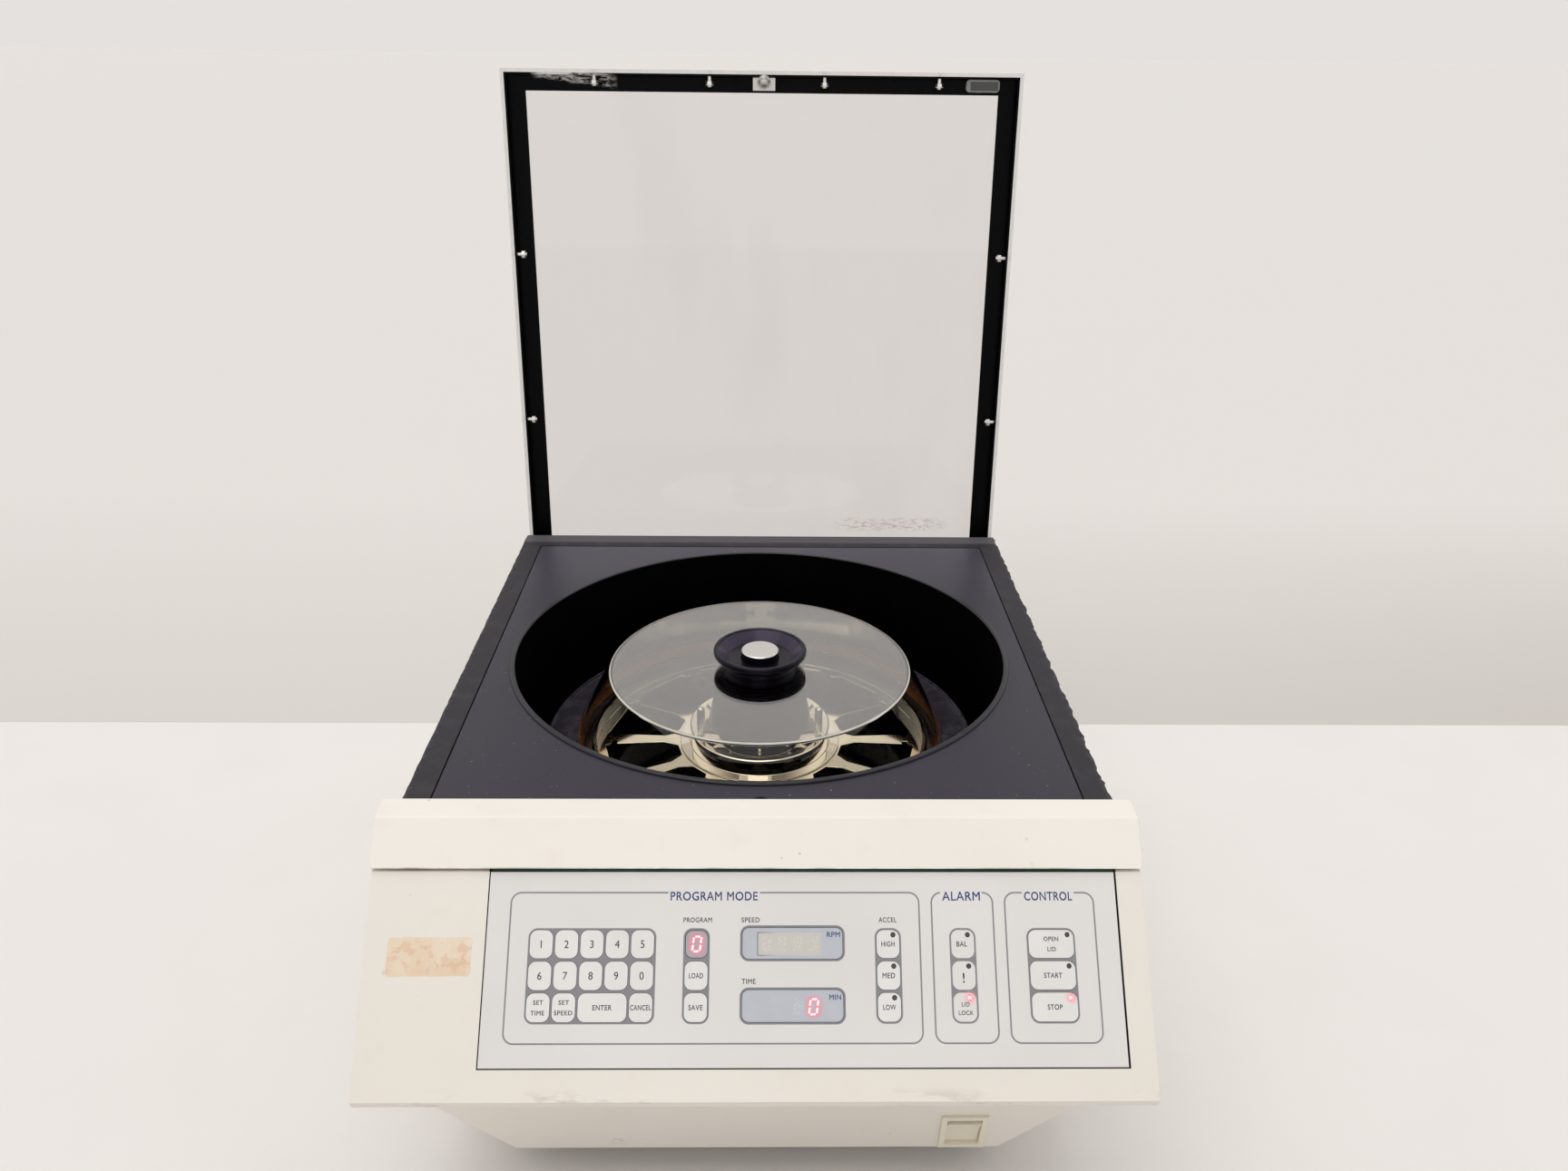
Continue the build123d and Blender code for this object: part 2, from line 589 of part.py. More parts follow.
def membrane_overlay():
    low = SHEET_TOP - SHEET_THICK
    sheet = panel_block(SHEET_X0, SHEET_X1, 0.3, SHEET_S1, BOARD_TOP, SHEET_TOP)
    sheet -= panel_block(SHEET_X0 + 2, SHEET_X1 - 2, 2.3, SHEET_S1 - 2, BOARD_TOP - 1, low)
    for x, s, width in keys.values():
        hole = key_prism(width + GAP, KEY_H + GAP, KEY_R + GAP / 2, low - 1, 3)
        sheet -= on_panel(x, s) * hole
    for x, s, width, height in (PROGRAM_WINDOW, SPEED_WINDOW, TIME_WINDOW):
        sheet -= on_panel(x, s) * key_prism(width, height, KEY_R, low - 1, 3)
    for x, s in led_spots[3:6]:
        sheet -= on_panel(x, s) * Pos(0, 0, low) * Cylinder(1.25, 8)
    return sheet


def key_cap(x, s, width):
    """One key of the keypad, with a clear hole for its lamp where it has one."""
    body = key_prism(width, KEY_H, KEY_R, BOARD_TOP + KEY_TRAVEL + 0.1, KEY_PROUD)
    cap = on_panel(x, s) * body
    for lamp_x, lamp_s in led_spots:
        if abs(lamp_x - x) < width / 2 and abs(lamp_s - s) < KEY_H / 2:
            cap -= on_panel(lamp_x, lamp_s) * Cylinder(1.25, 12)
    return cap


def indicator_leds():
    lamps = []
    for x, s in led_spots:
        lamp = on_panel(x, s) * Pos(0, 0, (BOARD_TOP + SHEET_TOP - 0.1) / 2)
        lamps.append(lamp * Cylinder(0.95, SHEET_TOP - 0.1 - BOARD_TOP))
    return as_group(lamps)


def display_windows():
    blocks = []
    for x, s, width, height in (PROGRAM_WINDOW, SPEED_WINDOW, TIME_WINDOW):
        pane = key_prism(width - 0.4, height - 0.4, KEY_R - 0.2, BOARD_TOP, SHEET_TOP - 0.4)
        blocks.append(on_panel(x, s) * pane)
    return as_group(blocks)


def control_board():
    board = panel_block(-150, 186, -1.5, 99, BOARD_TOP - BOARD_THICK, BOARD_TOP)
    for x, s, w, h in ((-80, 30, 40, 14), (-80, 62, 40, 14), (0, 30, 30, 30), (60, 62, 26, 18), (130, 45, 34, 20)):
        board += panel_block(x - w / 2, x + w / 2, s - h / 2, s + h / 2, BOARD_TOP - BOARD_THICK - 5,
                             BOARD_TOP - BOARD_THICK + 0.2)
    return board


# ---------------------------------------------------------------- mains switch on the tub front
ROCKER_PIVOT_N = -4.0
ROCKER_LEAN = 9.0       # the paddle leans this far either way
TRUNNION_R = 1.5


def switch_bezel():
    frame = Pos(SWITCH_X, SWITCH_UP, 0.9) * Box(SWITCH_W, SWITCH_H, 1.8)
    sleeve = Pos(SWITCH_X, SWITCH_UP, -7.5) * Box(22.4, 28.4, 15)
    cut = Pos(SWITCH_X, SWITCH_UP, -3) * Box(19.8, 25.8, 14)
    bearing = Pos(SWITCH_X, SWITCH_UP, ROCKER_PIVOT_N) * Rot(0, 90, 0) * Cylinder(TRUNNION_R + RUN, 30)
    return tub_front * (frame + sleeve - cut - bearing)


def mains_rocker():
    """Paddle that rocks on two level trunnions in the frame, with its lower half pressed in."""
    half, width = 11.9, 19.2
    outline = [(half, 5.2), (5, 3.7), (-5, 3.7), (-half, 5.2), (-half + 0.6, 0.6), (-4, -4.4), (4, -4.4),
               (half - 0.6, 0.6)]
    wire = Polyline(*[(0, u, n) for u, n in outline], close=True)
    paddle = Pos(-width / 2, 0, 0) * extrude(make_face(wire), amount=width, dir=(1, 0, 0))
    paddle += Rot(0, 90, 0) * Cylinder(TRUNNION_R, 21.8)
    pivot = Pos(SWITCH_X, SWITCH_UP, ROCKER_PIVOT_N)
    return tub_front * pivot * Rot(ROCKER_LEAN, 0, 0) * paddle


def case_screws():
    head = Pos(SCREW_X, SCREW_UP, 0.6) * Cylinder(3.0, 1.2)
    shank = Pos(SCREW_X, SCREW_UP, -4) * Cylinder(1.6, 8)
    slot = Pos(SCREW_X, SCREW_UP, 1.0) * Box(7, 0.8, 0.8)
    screws = [tub_front * (head + shank - slot)]
    for x in (-116, 116):
        for z in (-92, -36):
            screw = rod_y(3.2, REAR_Y - 1.4, REAR_Y - 0.1, x, z) + rod_y(1.7, REAR_Y - WALL, REAR_Y - 1.4, x, z)
            screws.append(screw)
    return as_group(screws)


# ---------------------------------------------------------------- write every piece
pieces = {
    "base_tub": base_tub, "rubber_feet": rubber_feet, "upper_casing": upper_casing,
    "rear_panel": rear_panel, "mains_inlet": mains_inlet, "front_console": front_console,
    "front_hood": front_hood, "deck_plate": deck_plate, "deck_gasket": deck_gasket,
    "bowl_liner": bowl_liner, "motor_mount_plate": motor_mount_plate, "motor_housing": motor_housing,
    "drive_spindle": drive_spindle, "transformer": transformer, "head_base": head_base,
    "carrier_plate": carrier_plate, "head_hub": head_hub, "clear_cover": clear_cover,
    "cover_knob": cover_knob, "knob_hub": knob_hub, "push_button": push_button,
    "button_spring": button_spring, "lid_panel": lid_panel, "lid_frame": lid_frame,
    "lid_screws": lid_screws, "latch_striker": latch_striker, "lid_magnet": lid_magnet,
    "hinge_arms": hinge_arms, "hinge_pins": hinge_pins, "latch_bolt": latch_bolt,
    "latch_solenoid": latch_solenoid, "membrane_overlay": membrane_overlay,
    "control_board": control_board, "display_windows": display_windows,
    "indicator_leds": indicator_leds, "switch_bezel": switch_bezel, "mains_rocker": mains_rocker,
    "case_screws": case_screws,
}
os.makedirs("parts", exist_ok=True)


def write(name, shape):
    export_step(shape.moved(Location((0, Y_SHIFT, 0))), "parts/" + name + ".step")


for name, make in pieces.items():
    write(name, make())
for name, (x, s, width) in keys.items():
    write(name, key_cap(x, s, width))
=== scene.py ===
import json
from functools import reduce
from math import cos, pi, radians, sin

import bpy
from mathutils import Matrix, Vector

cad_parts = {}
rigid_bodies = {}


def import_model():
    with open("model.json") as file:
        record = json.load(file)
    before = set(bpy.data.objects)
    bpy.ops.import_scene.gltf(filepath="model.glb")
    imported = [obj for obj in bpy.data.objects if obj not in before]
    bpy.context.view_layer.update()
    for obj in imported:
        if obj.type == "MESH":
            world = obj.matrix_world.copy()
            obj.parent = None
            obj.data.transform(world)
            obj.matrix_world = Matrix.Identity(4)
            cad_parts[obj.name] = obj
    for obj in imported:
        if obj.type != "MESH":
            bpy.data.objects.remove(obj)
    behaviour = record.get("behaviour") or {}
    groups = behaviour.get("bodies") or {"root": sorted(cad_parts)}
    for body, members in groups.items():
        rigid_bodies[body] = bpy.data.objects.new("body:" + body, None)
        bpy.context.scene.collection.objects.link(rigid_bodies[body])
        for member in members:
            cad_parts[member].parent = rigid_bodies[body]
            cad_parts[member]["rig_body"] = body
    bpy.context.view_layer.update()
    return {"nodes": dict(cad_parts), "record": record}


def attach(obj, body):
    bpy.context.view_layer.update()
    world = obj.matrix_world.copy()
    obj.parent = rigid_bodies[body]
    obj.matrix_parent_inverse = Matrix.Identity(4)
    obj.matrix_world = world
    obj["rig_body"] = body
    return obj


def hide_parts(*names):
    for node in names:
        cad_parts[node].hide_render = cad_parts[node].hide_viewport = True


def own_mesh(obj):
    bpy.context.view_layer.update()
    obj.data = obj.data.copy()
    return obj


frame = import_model()


# ---------------------------------------------------------------------------------------------
# The camera stands in front of the keypad and looks down over the open lid. Its place was solved
# from the deck's right angles and the level hood. Pieces are placed in millimetres from the bowl's
# centre, with heights from the deck; at() turns them into the frame's metres.
BOWL_Y, DECK_Z = 24.6, 231.5


def at(x, y, z):
    return Vector((x / 1000, (y + BOWL_Y) / 1000, (z + DECK_Z) / 1000))


yaw, pitch, roll = radians(1.049), radians(24.384), radians(0.676)
ahead = Vector((sin(yaw) * cos(pitch), cos(yaw) * cos(pitch), -sin(pitch)))
level = Vector((cos(yaw), -sin(yaw), 0.0))
upward = level.cross(ahead)
right = level * cos(roll) + upward * sin(roll)
top = upward * cos(roll) - level * sin(roll)
lens = bpy.data.cameras.new("view_camera")
lens.sensor_width = 36.0
lens.lens = 27.946
camera = bpy.data.objects.new("view_camera", lens)
bpy.context.scene.collection.objects.link(camera)
facing = Matrix((right, top, -ahead)).transposed().to_4x4()
camera.matrix_world = Matrix.Translation(at(2.26, -718.6, 371.3)) @ facing
bpy.context.scene.camera = camera
bpy.context.scene.view_settings.view_transform = "Standard"


# ---------------------------------------------------------------------------------------------
# A white bench top against a painted wall. The floor is one plane: the bench in front of the line
# where the wall starts, and the wall's colour beyond it. Finishes are built from nodes; a Shade is
# a value inside a finish, so sums on it read as sums.
class Shade:
    def __init__(self, nodes, socket):
        self.nodes, self.socket = nodes, socket

    def math(self, operation, *values):
        return self.nodes.node("ShaderNodeMath", {"operation": operation}, dict(enumerate(values)))

    def __add__(self, other):
        return self.math("ADD", self, other)

    def __radd__(self, other):
        return self.math("ADD", other, self)

    def __sub__(self, other):
        return self.math("SUBTRACT", self, other)

    def __rsub__(self, other):
        return self.math("SUBTRACT", other, self)

    def __mul__(self, other):
        return self.math("MULTIPLY", self, other)

    def __rmul__(self, other):
        return self.math("MULTIPLY", other, self)

    def __pow__(self, other):
        return self.math("POWER", self, other)

    def __abs__(self):
        return self.math("ABSOLUTE", self)

    def least(self, other):
        return self.math("MINIMUM", self, other)

    def most(self, other):
        return self.math("MAXIMUM", self, other)

    def ramp(self, low, high):
        """0 at low, 1 at high, straight between them and level outside."""
        return self.nodes.node("ShaderNodeMapRange", {}, {
            "Value": self, "From Min": low, "From Max": high})


def paint(red, green, blue):
    """A colour read off a screen as 0-255, in Blender's linear values."""
    linear = [((c / 255 + 0.055) / 1.055) ** 2.4 if c > 10 else c / 255 / 12.92
              for c in (red, green, blue)]
    return (*linear, 1.0)


class Nodes:
    def __init__(self, owner):
        owner.use_nodes = True
        self.tree = owner.node_tree

    def put(self, socket, value):
        if isinstance(value, Shade):
            self.tree.links.new(value.socket, socket)
        else:
            socket.default_value = value

    def node(self, kind, settings, values, out=0):
        made = self.tree.nodes.new(kind)
        for key, value in settings.items():
            setattr(made, key, value)
        for key, value in values.items():
            self.put(made.inputs[key], value)
        return Shade(self, made.outputs[out])

    def axes(self, vector):
        split = self.tree.nodes.new("ShaderNodeSeparateXYZ")
        self.put(split.inputs[0], vector)
        return [Shade(self, out) for out in split.outputs]

    def mix(self, factor, first, second):
        return self.node("ShaderNodeMix", {"data_type": "RGBA"}, {
            0: factor, 6: first, 7: second}, 2)


class Finish(Nodes):
    """A material that starts as one plain colour; set() then varies it over the surface."""

    def __init__(self, name, colour, roughness, metallic=0.0, **fixed):
        self.material = bpy.data.materials.new(name)
        super().__init__(self.material)
        self.shader = self.tree.nodes["Principled BSDF"]
        self.set("Base Color", colour)
        self.set("Roughness", roughness)
        self.set("Metallic", metallic)
        for socket, value in fixed.items():
            self.set(socket.replace("_", " "), value)

    def set(self, socket, value):
        self.put(self.shader.inputs[socket], value)

    def place(self):
        """The point's own coordinates, in metres."""
        return self.node("ShaderNodeTexCoord", {}, {}, "Object")

    def spot(self):
        """The point's x, y and z in millimetres, measured as at() measures them."""
        x, y, z = self.axes(self.place())
        return x * 1000, y * 1000 - BOWL_Y, z * 1000 - DECK_Z

    def noise(self, scale, detail=3.0, roughness=0.55, stretch=(1, 1, 1)):
        vector = self.place()
        if stretch != (1, 1, 1):
            vector = self.node("ShaderNodeMapping", {}, {"Vector": vector, "Scale": stretch})
        return self.node("ShaderNodeTexNoise", {}, {
            "Vector": vector, "Scale": scale, "Detail": detail, "Roughness": roughness})

    def bump(self, height, strength, distance):
        self.set("Normal", self.node("ShaderNodeBump", {}, {
            "Strength": strength, "Distance": distance, "Height": height}))


bench = Finish("bench_top", paint(230, 226, 223), 0.5)
wall_line = 290.6
x, y, _ = bench.spot()
marks = bench.noise(9.0).ramp(0.45, 0.85) * 0.10
bench_tone = bench.mix(marks, paint(225, 222, 220), paint(196, 191, 188))
# Painted shade darkens the wall towards the bench, and more towards the right.
low_wall_shade = y.ramp(900.0, wall_line + 0.4) * (0.45 + x.ramp(-300.0, 900.0) * 0.55)
wall_tone = bench.mix(low_wall_shade, paint(216, 213, 210), paint(192, 187, 184))
floor_tone = bench.mix(y.ramp(wall_line - 0.6, wall_line + 1.0), bench_tone, wall_tone)
joint_line = abs(y - wall_line).ramp(1.6, 0.4)
bench.set("Base Color", bench.mix(joint_line * 0.30, floor_tone, paint(150, 140, 132)))
bpy.ops.mesh.primitive_plane_add(size=80, location=(0, 0, 0))
floor = bpy.context.object
floor.name = "bench"
floor.data.materials.append(bench.material)


# ---------------------------------------------------------------------------------------------
# The room is white overhead and low down in front, wall-coloured behind the instrument, and dim
# behind the camera between the windows and the ceiling. Three wide suns stand for its lamps and
# windows.
white, wall_glow = (0.95, 0.93, 0.905, 1.0), (0.783, 0.753, 0.730, 1.0)
gloom = (0.24, 0.22, 0.23, 1.0)
world = bpy.data.worlds.new("room")
room = Nodes(world)
_, y, z = room.axes(room.node("ShaderNodeTexCoord", {}, {}, "Generated"))
behind_camera = y.ramp(0.1, -0.6) * z.ramp(0.86, 0.68) * z.ramp(0.22, 0.38)
behind_lid = y.ramp(0.2, 0.5) * z.ramp(0.5, 0.3)
room_tone = room.mix(behind_camera, room.mix(behind_lid, white, wall_glow), gloom)
room.put(room.tree.nodes["Background"].inputs["Color"], room_tone)
bpy.context.scene.world = world


def wide_sun(name, towards, strength):
    light = bpy.data.lights.new(name, "SUN")
    light.energy = strength
    light.angle = radians(50)
    light.color = (1.0, 0.985, 0.96)
    holder = bpy.data.objects.new(name, light)
    bpy.context.scene.collection.objects.link(holder)
    holder.rotation_euler = Vector(towards).to_track_quat("-Z", "Y").to_euler()


wide_sun("ceiling_light", (0.2, 0.1, -1.0), 0.75)
wide_sun("room_light", (0.1, 0.75, -1.0), 0.25)
wide_sun("window_light", (0.05, 1.0, -0.3), 0.40)


# ---------------------------------------------------------------------------------------------
# The upper casing and the tub are moulded shells that meet in a level seam. Both are painted in a
# slightly yellowed cream with a fine grain, faint rubbed patches and a few small dark chips.
def deselect():
    if bpy.context.object and bpy.context.object.mode != "OBJECT":
        bpy.ops.object.mode_set(mode="OBJECT")
    bpy.ops.object.select_all(action="DESELECT")


def take(piece):
    """Makes a piece the only one selected."""
    deselect()
    piece.select_set(True)
    bpy.context.view_layer.objects.active = piece


def edit_all():
    """Opens the active piece for editing, with all of it selected."""
    bpy.ops.object.mode_set(mode="EDIT")
    bpy.ops.mesh.select_all(action="SELECT")


def end_edit():
    bpy.ops.object.mode_set(mode="OBJECT")


def apply(piece, kind, **settings):
    """Adds a modifier to a piece and applies it."""
    take(piece)
    modifier = piece.modifiers.new(kind.lower(), kind)
    for key, value in settings.items():
        setattr(modifier, key, value)
    bpy.ops.object.modifier_apply(modifier=modifier.name)


def round_edges(piece, width, segments=2, limit=28):
    """Rounds every edge sharper than limit degrees, width in millimetres, and keeps flats flat."""
    if width:
        apply(piece, "BEVEL", width=width / 1000, segments=segments, limit_method="ANGLE",
              angle_limit=radians(limit))
    take(piece)
    bpy.ops.object.shade_smooth_by_angle(angle=radians(35))
    apply(piece, "WEIGHTED_NORMAL", keep_sharp=True, weight=80)


def fit(piece, body, slot, finish, *nodes):
    """Gives a finished piece its material, its body and the node it stands for."""
    piece.data.materials.clear()
    piece.data.materials.append(finish.material)
    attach(piece, body)
    if nodes:
        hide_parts(*nodes)
    return piece


slots = {part["node"]: part["material_slot"] for part in frame["record"]["subparts"]}


def dress(node, finish, width, segments=2):
    """Copies a plain solid, rounds its edges, finishes it and puts it in place of its node."""
    plain = frame["nodes"][node]
    piece = bpy.data.objects.new(node + "_made", plain.data.copy())
    bpy.context.scene.collection.objects.link(piece)
    take(piece)
    bpy.ops.mesh.customdata_custom_splitnormals_clear()
    edit_all()
    bpy.ops.mesh.remove_doubles(threshold=0.00001)
    bpy.ops.mesh.dissolve_limited(angle_limit=radians(0.6))
    end_edit()
    round_edges(piece, width, segments)
    return fit(piece, plain["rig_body"], slots[node], finish, node)


def cream(name, tone, shade):
    made = Finish(name, tone, 0.42, Specular_IOR_Level=0.4)
    patches = made.noise(5.5, 4).ramp(0.38, 0.72)
    blush = made.noise(38.0, 3).ramp(0.55, 0.78)
    chips = made.noise(210.0, 2, 0.4).ramp(0.742, 0.762) * made.noise(14.0, 2).ramp(0.55, 0.65)
    base = made.mix(patches * 0.55, tone, shade)
    base = made.mix(blush * 0.10, base, paint(206, 184, 166))
    made.base = made.mix(chips * 0.75, base, paint(120, 105, 92))
    made.set("Base Color", made.base)
    made.set("Roughness", 0.36 + patches * 0.14 + blush * 0.06)
    made.bump(made.noise(1400.0, 2), 0.10, 0.0002)
    return made


casing_cream = cream("casing_cream", paint(228, 224, 217), paint(220, 214, 206))
dress("upper_casing", casing_cream, 0.9)
tub_cream = cream("tub_cream", paint(232, 227, 219), paint(223, 217, 208))
dress("base_tub", tub_cream, 1.6, 3)


# ---------------------------------------------------------------------------------------------
# The hood is the cream moulding between the deck and the keypad, clipped over both. Its lower edge
# has gathered brown dirt along the seam above the keypad.
hood_cream = cream("hood_cream", paint(233, 229, 222), paint(226, 221, 213))
_, _, z = hood_cream.spot()
seam = z.ramp(-10.6, -11.5)
grime = seam * hood_cream.noise(45.0, 4).ramp(0.40, 0.62)
hood_cream.set("Base Color", hood_cream.mix(grime * 0.8, hood_cream.base, paint(120, 92, 72)))
dress("front_hood", hood_cream, 1.1, 3)


# ---------------------------------------------------------------------------------------------
# The console is one deep moulding with the keypad let into its sloped face, a stained blank label
# on its left cheek and grey scuffs along its lower edge. Places on the face are x across and s
# down the slope, both in millimetres.
SLOPE = radians(48)
FACE_Y, FACE_Z = -218.9, -13.7


def panel(x, s, lift):
    """A point lift millimetres above the sloped face."""
    return at(x, FACE_Y - s * cos(SLOPE) - lift * sin(SLOPE),
              FACE_Z - s * sin(SLOPE) + lift * cos(SLOPE))


def panel_spot(finish):
    """x and s of the point that is shaded, and its height over the face."""
    x, y, z = finish.spot()
    y, z = y - FACE_Y, z - FACE_Z
    return x, y * -cos(SLOPE) - z * sin(SLOPE), y * -sin(SLOPE) + z * cos(SLOPE)


def field(x, s, x_mid, s_mid, width, tall, corner):
    """How far a point lies outside a rounded field on the panel; negative inside it."""
    dx = abs(x - x_mid) - (width / 2 - corner)
    ds = abs(s - s_mid) - (tall / 2 - corner)
    return (dx.most(0.0) ** 2 + ds.most(0.0) ** 2) ** 0.5 + dx.most(ds).least(0.0) - corner


console_cream = cream("console_cream", paint(226, 222, 214), paint(217, 211, 202))
x, s, lift = panel_spot(console_cream)
lower_edge = s.ramp(101.0, 108.5)
scuffs = lower_edge * console_cream.noise(60.0, 5, 0.7, (0.35, 1, 1)).ramp(0.56, 0.66)
console_tone = console_cream.mix(scuffs * 0.5, console_cream.base, paint(140, 128, 118))

# The label's edge is worn to an uneven line, and rusty stains have faded in its middle band.
label_x, label_s, label_width, label_tall = -161.6, 41.1, 41.6, 18.4
label_edge = field(x, s, label_x, label_s, label_width, label_tall, 2.0)
label_edge = label_edge + console_cream.noise(120.0, 3) * 1.4
label_wear = console_cream.noise(40.0, 5, 0.65).ramp(0.42, 0.66)
label_tone = console_cream.mix(label_wear, paint(226, 211, 192), paint(220, 196, 168))
middle_band = abs(s - label_s + 0.1).ramp(9.0, 6.0)
stains = middle_band * console_cream.noise(190.0, 3, 0.6).ramp(0.52, 0.60)
label_tone = console_cream.mix(stains * 0.28, label_tone, paint(206, 140, 88))
label = label_edge.ramp(0.9, 0.6) * lift.ramp(-0.2, -0.1)
console_tone = console_cream.mix(label, console_tone, label_tone)

# The recess that the keypad film lies in is painted near-black where it shows round the film, as
# painted shade in the gap.
film_left, film_right, film_end = -135.2, 181.4, 93.5
# Painted shade: the recess walls round the film are painted near-black.
pocket_shade = lift.ramp(0.0, -0.04) * s.ramp(film_end, film_end - 0.2)
pocket_shade = pocket_shade * x.ramp(film_left, film_left + 0.2) * x.ramp(film_right, film_right - 0.2)
console_cream.set("Base Color", console_cream.mix(pocket_shade, console_tone, paint(14, 12, 12)))
dress("front_console", console_cream, 1.4, 3)


# ---------------------------------------------------------------------------------------------
# The deck is a sheet of black satin-painted metal, a little blue where it mirrors the room. It has
# specks of dust, and a painted reflection of the open lid makes it palest at the back, under the
# lid.
deck_black = Finish("deck_black", paint(33, 30, 42), 0.34, Specular_IOR_Level=0.47,
                    Specular_Tint=(0.95, 0.9, 1.0, 1.0))
_, y, _ = deck_black.spot()
cloud = deck_black.noise(7.0, 3).ramp(0.35, 0.75)
dust = deck_black.noise(520.0, 2, 0.5).ramp(0.735, 0.76)
deck_tone = deck_black.mix(cloud * 0.5, paint(31, 28, 42), paint(41, 38, 52))
# Painted reflection: the deck is painted paler towards the back, under the open lid.
painted_lid_reflection = y.ramp(70.0, 175.0)
deck_tone = deck_black.mix(painted_lid_reflection, deck_tone, paint(62, 59, 72))
deck_black.set("Base Color", deck_black.mix(dust * 0.6, deck_tone, paint(150, 148, 150)))
deck_black.set("Roughness", 0.38 + cloud * 0.10)
deck_black.bump(deck_black.noise(900.0, 2), 0.08, 0.0002)
dress("deck_plate", deck_black, 0.4)


# ---------------------------------------------------------------------------------------------
# The gasket is black rubber strip laid in the deck's recessed border and cut by hand, so that its
# outer edge is frayed, most on the right. It is sliced across and its outer edges pushed about.
gasket_black = Finish("gasket_black", paint(40, 38, 46), 0.62, Specular_IOR_Level=0.45,
                      Specular_Tint=(0.92, 0.87, 1.0, 1.0))
x, y, _ = gasket_black.spot()
wear = gasket_black.noise(60.0, 4).ramp(0.5, 0.75) * 0.3
outer_side, back_strip_reflection = abs(x).ramp(185.6, 188.0), y.ramp(181.0, 184.0)
fray = (outer_side * gasket_black.noise(160.0, 4).ramp(0.45, 0.7)).most(wear)
# The strip across the back is painted paler, a painted reflection of the open lid.
gasket_tone = gasket_black.mix(back_strip_reflection * 0.9, paint(34, 32, 36), paint(84, 82, 88))
gasket_black.set("Base Color", gasket_black.mix(fray * 0.6, gasket_tone, paint(90, 87, 90)))
gasket_black.bump(gasket_black.noise(1500.0, 2), 0.4, 0.0004)
gasket = dress("deck_gasket", gasket_black, 0.0)
gasket_front, slice_depth, slices = -186.3, 3.0, 128
take(gasket)
bpy.ops.object.mode_set(mode="EDIT")
for i in range(1, slices):
    bpy.ops.mesh.select_all(action="SELECT")
    bpy.ops.mesh.bisect(plane_co=at(0, gasket_front + i * slice_depth, 0), plane_no=(0, 1, 0))
end_edit()
fray_pattern = bpy.data.textures.new("fray_pattern", "CLOUDS")
fray_pattern.noise_scale = 0.005
outer_edge = 0.1886
for side, name, deepest in ((1, "right_edge", 0.0036), (-1, "left_edge", 0.0010)):
    edge = gasket.vertex_groups.new(name=name)
    frayed = [v.index for v in gasket.data.vertices if v.co.x * side > outer_edge]
    edge.add(frayed, 1.0, "REPLACE")
    apply(gasket, "DISPLACE", texture=fray_pattern, vertex_group=name, direction="X",
          texture_coords="LOCAL", strength=deepest * side, mid_level=0.5)


# ---------------------------------------------------------------------------------------------
# The bowl is a deep black moulding with a narrow rolled lip that catches the light. Inside, it is
# painted near-black with its gloss nearly taken away, as painted shade in the deep bowl; the lip
# keeps the plain black of the plastic. Turned pieces are drawn as an outline of radius and height
# and spun about the bowl's axis.
def turned(name, outline, steps, rounding):
    deselect()
    bpy.ops.mesh.primitive_plane_add(size=0.001, location=at(outline[0][0], 0, outline[0][1]))
    piece = bpy.context.object
    piece.name = name
    bpy.ops.object.transform_apply(location=True, rotation=True, scale=True)
    edit_all()
    bpy.ops.mesh.merge(type="CENTER")
    here = outline[0]
    for point in outline[1:] + outline[:1]:
        move = ((point[0] - here[0]) / 1000, 0, (point[1] - here[1]) / 1000)
        bpy.ops.mesh.extrude_region_move(TRANSFORM_OT_translate={"value": move})
        here = point
    bpy.ops.mesh.select_all(action="SELECT")
    bpy.ops.mesh.remove_doubles(threshold=0.000002)
    bpy.ops.mesh.spin(steps=steps, angle=2 * pi, center=at(0, 0, 0), axis=(0, 0, 1))
    bpy.ops.mesh.select_all(action="SELECT")
    bpy.ops.mesh.remove_doubles(threshold=0.000002)
    bpy.ops.mesh.normals_make_consistent(inside=False)
    end_edit()
    round_edges(piece, rounding, 2, 20)
    return piece


def refinish(piece, finish, chosen):
    """Gives another finish to the faces chosen by their middle, in millimetres, and normal."""
    piece.data.materials.append(finish.material)
    for face in piece.data.polygons:
        if chosen((face.center - at(0, 0, 0)) * 1000, face.normal):
            face.material_index = len(piece.data.materials) - 1


# Painted shade: the inside of the bowl is painted near-black with almost no gloss.
bowl_black = Finish("bowl_black", paint(3, 3, 4), 0.6, Specular_IOR_Level=0.03)
dusty = bowl_black.noise(40.0, 4).ramp(0.5, 0.85)
bowl_black.set("Base Color", bowl_black.mix(dusty * 0.5, paint(2, 2, 3), paint(9, 8, 10)))
bowl_black.bump(bowl_black.noise(1100.0, 2), 0.08, 0.0002)
bowl = turned("bowl_moulding", [
    (159.9, 1.2), (162.3, 1.2), (162.9, 0.6), (162.9, 0.05), (161.2, 0.05), (161.2, -107.5),
    (152.6, -114.4), (16, -114.4), (16, -109.6), (18.5, -109.6), (18.5, -112.5), (151.4, -112.5),
    (159.3, -104.6), (159.3, 0.8)], steps=192, rounding=0.35)
fit(bowl, "instrument", "bowl_black", bowl_black, "bowl_liner")
lip_black = Finish("lip_black", paint(22, 20, 28), 0.3, Specular_IOR_Level=0.4)
lip_wear = lip_black.noise(30.0, 4).ramp(0.5, 0.8)
lip_black.set("Base Color", lip_black.mix(lip_wear * 0.4, paint(18, 16, 24), paint(52, 50, 62)))
lip_bottom = -0.6
refinish(bowl, lip_black, lambda middle, normal: middle.z > lip_bottom)
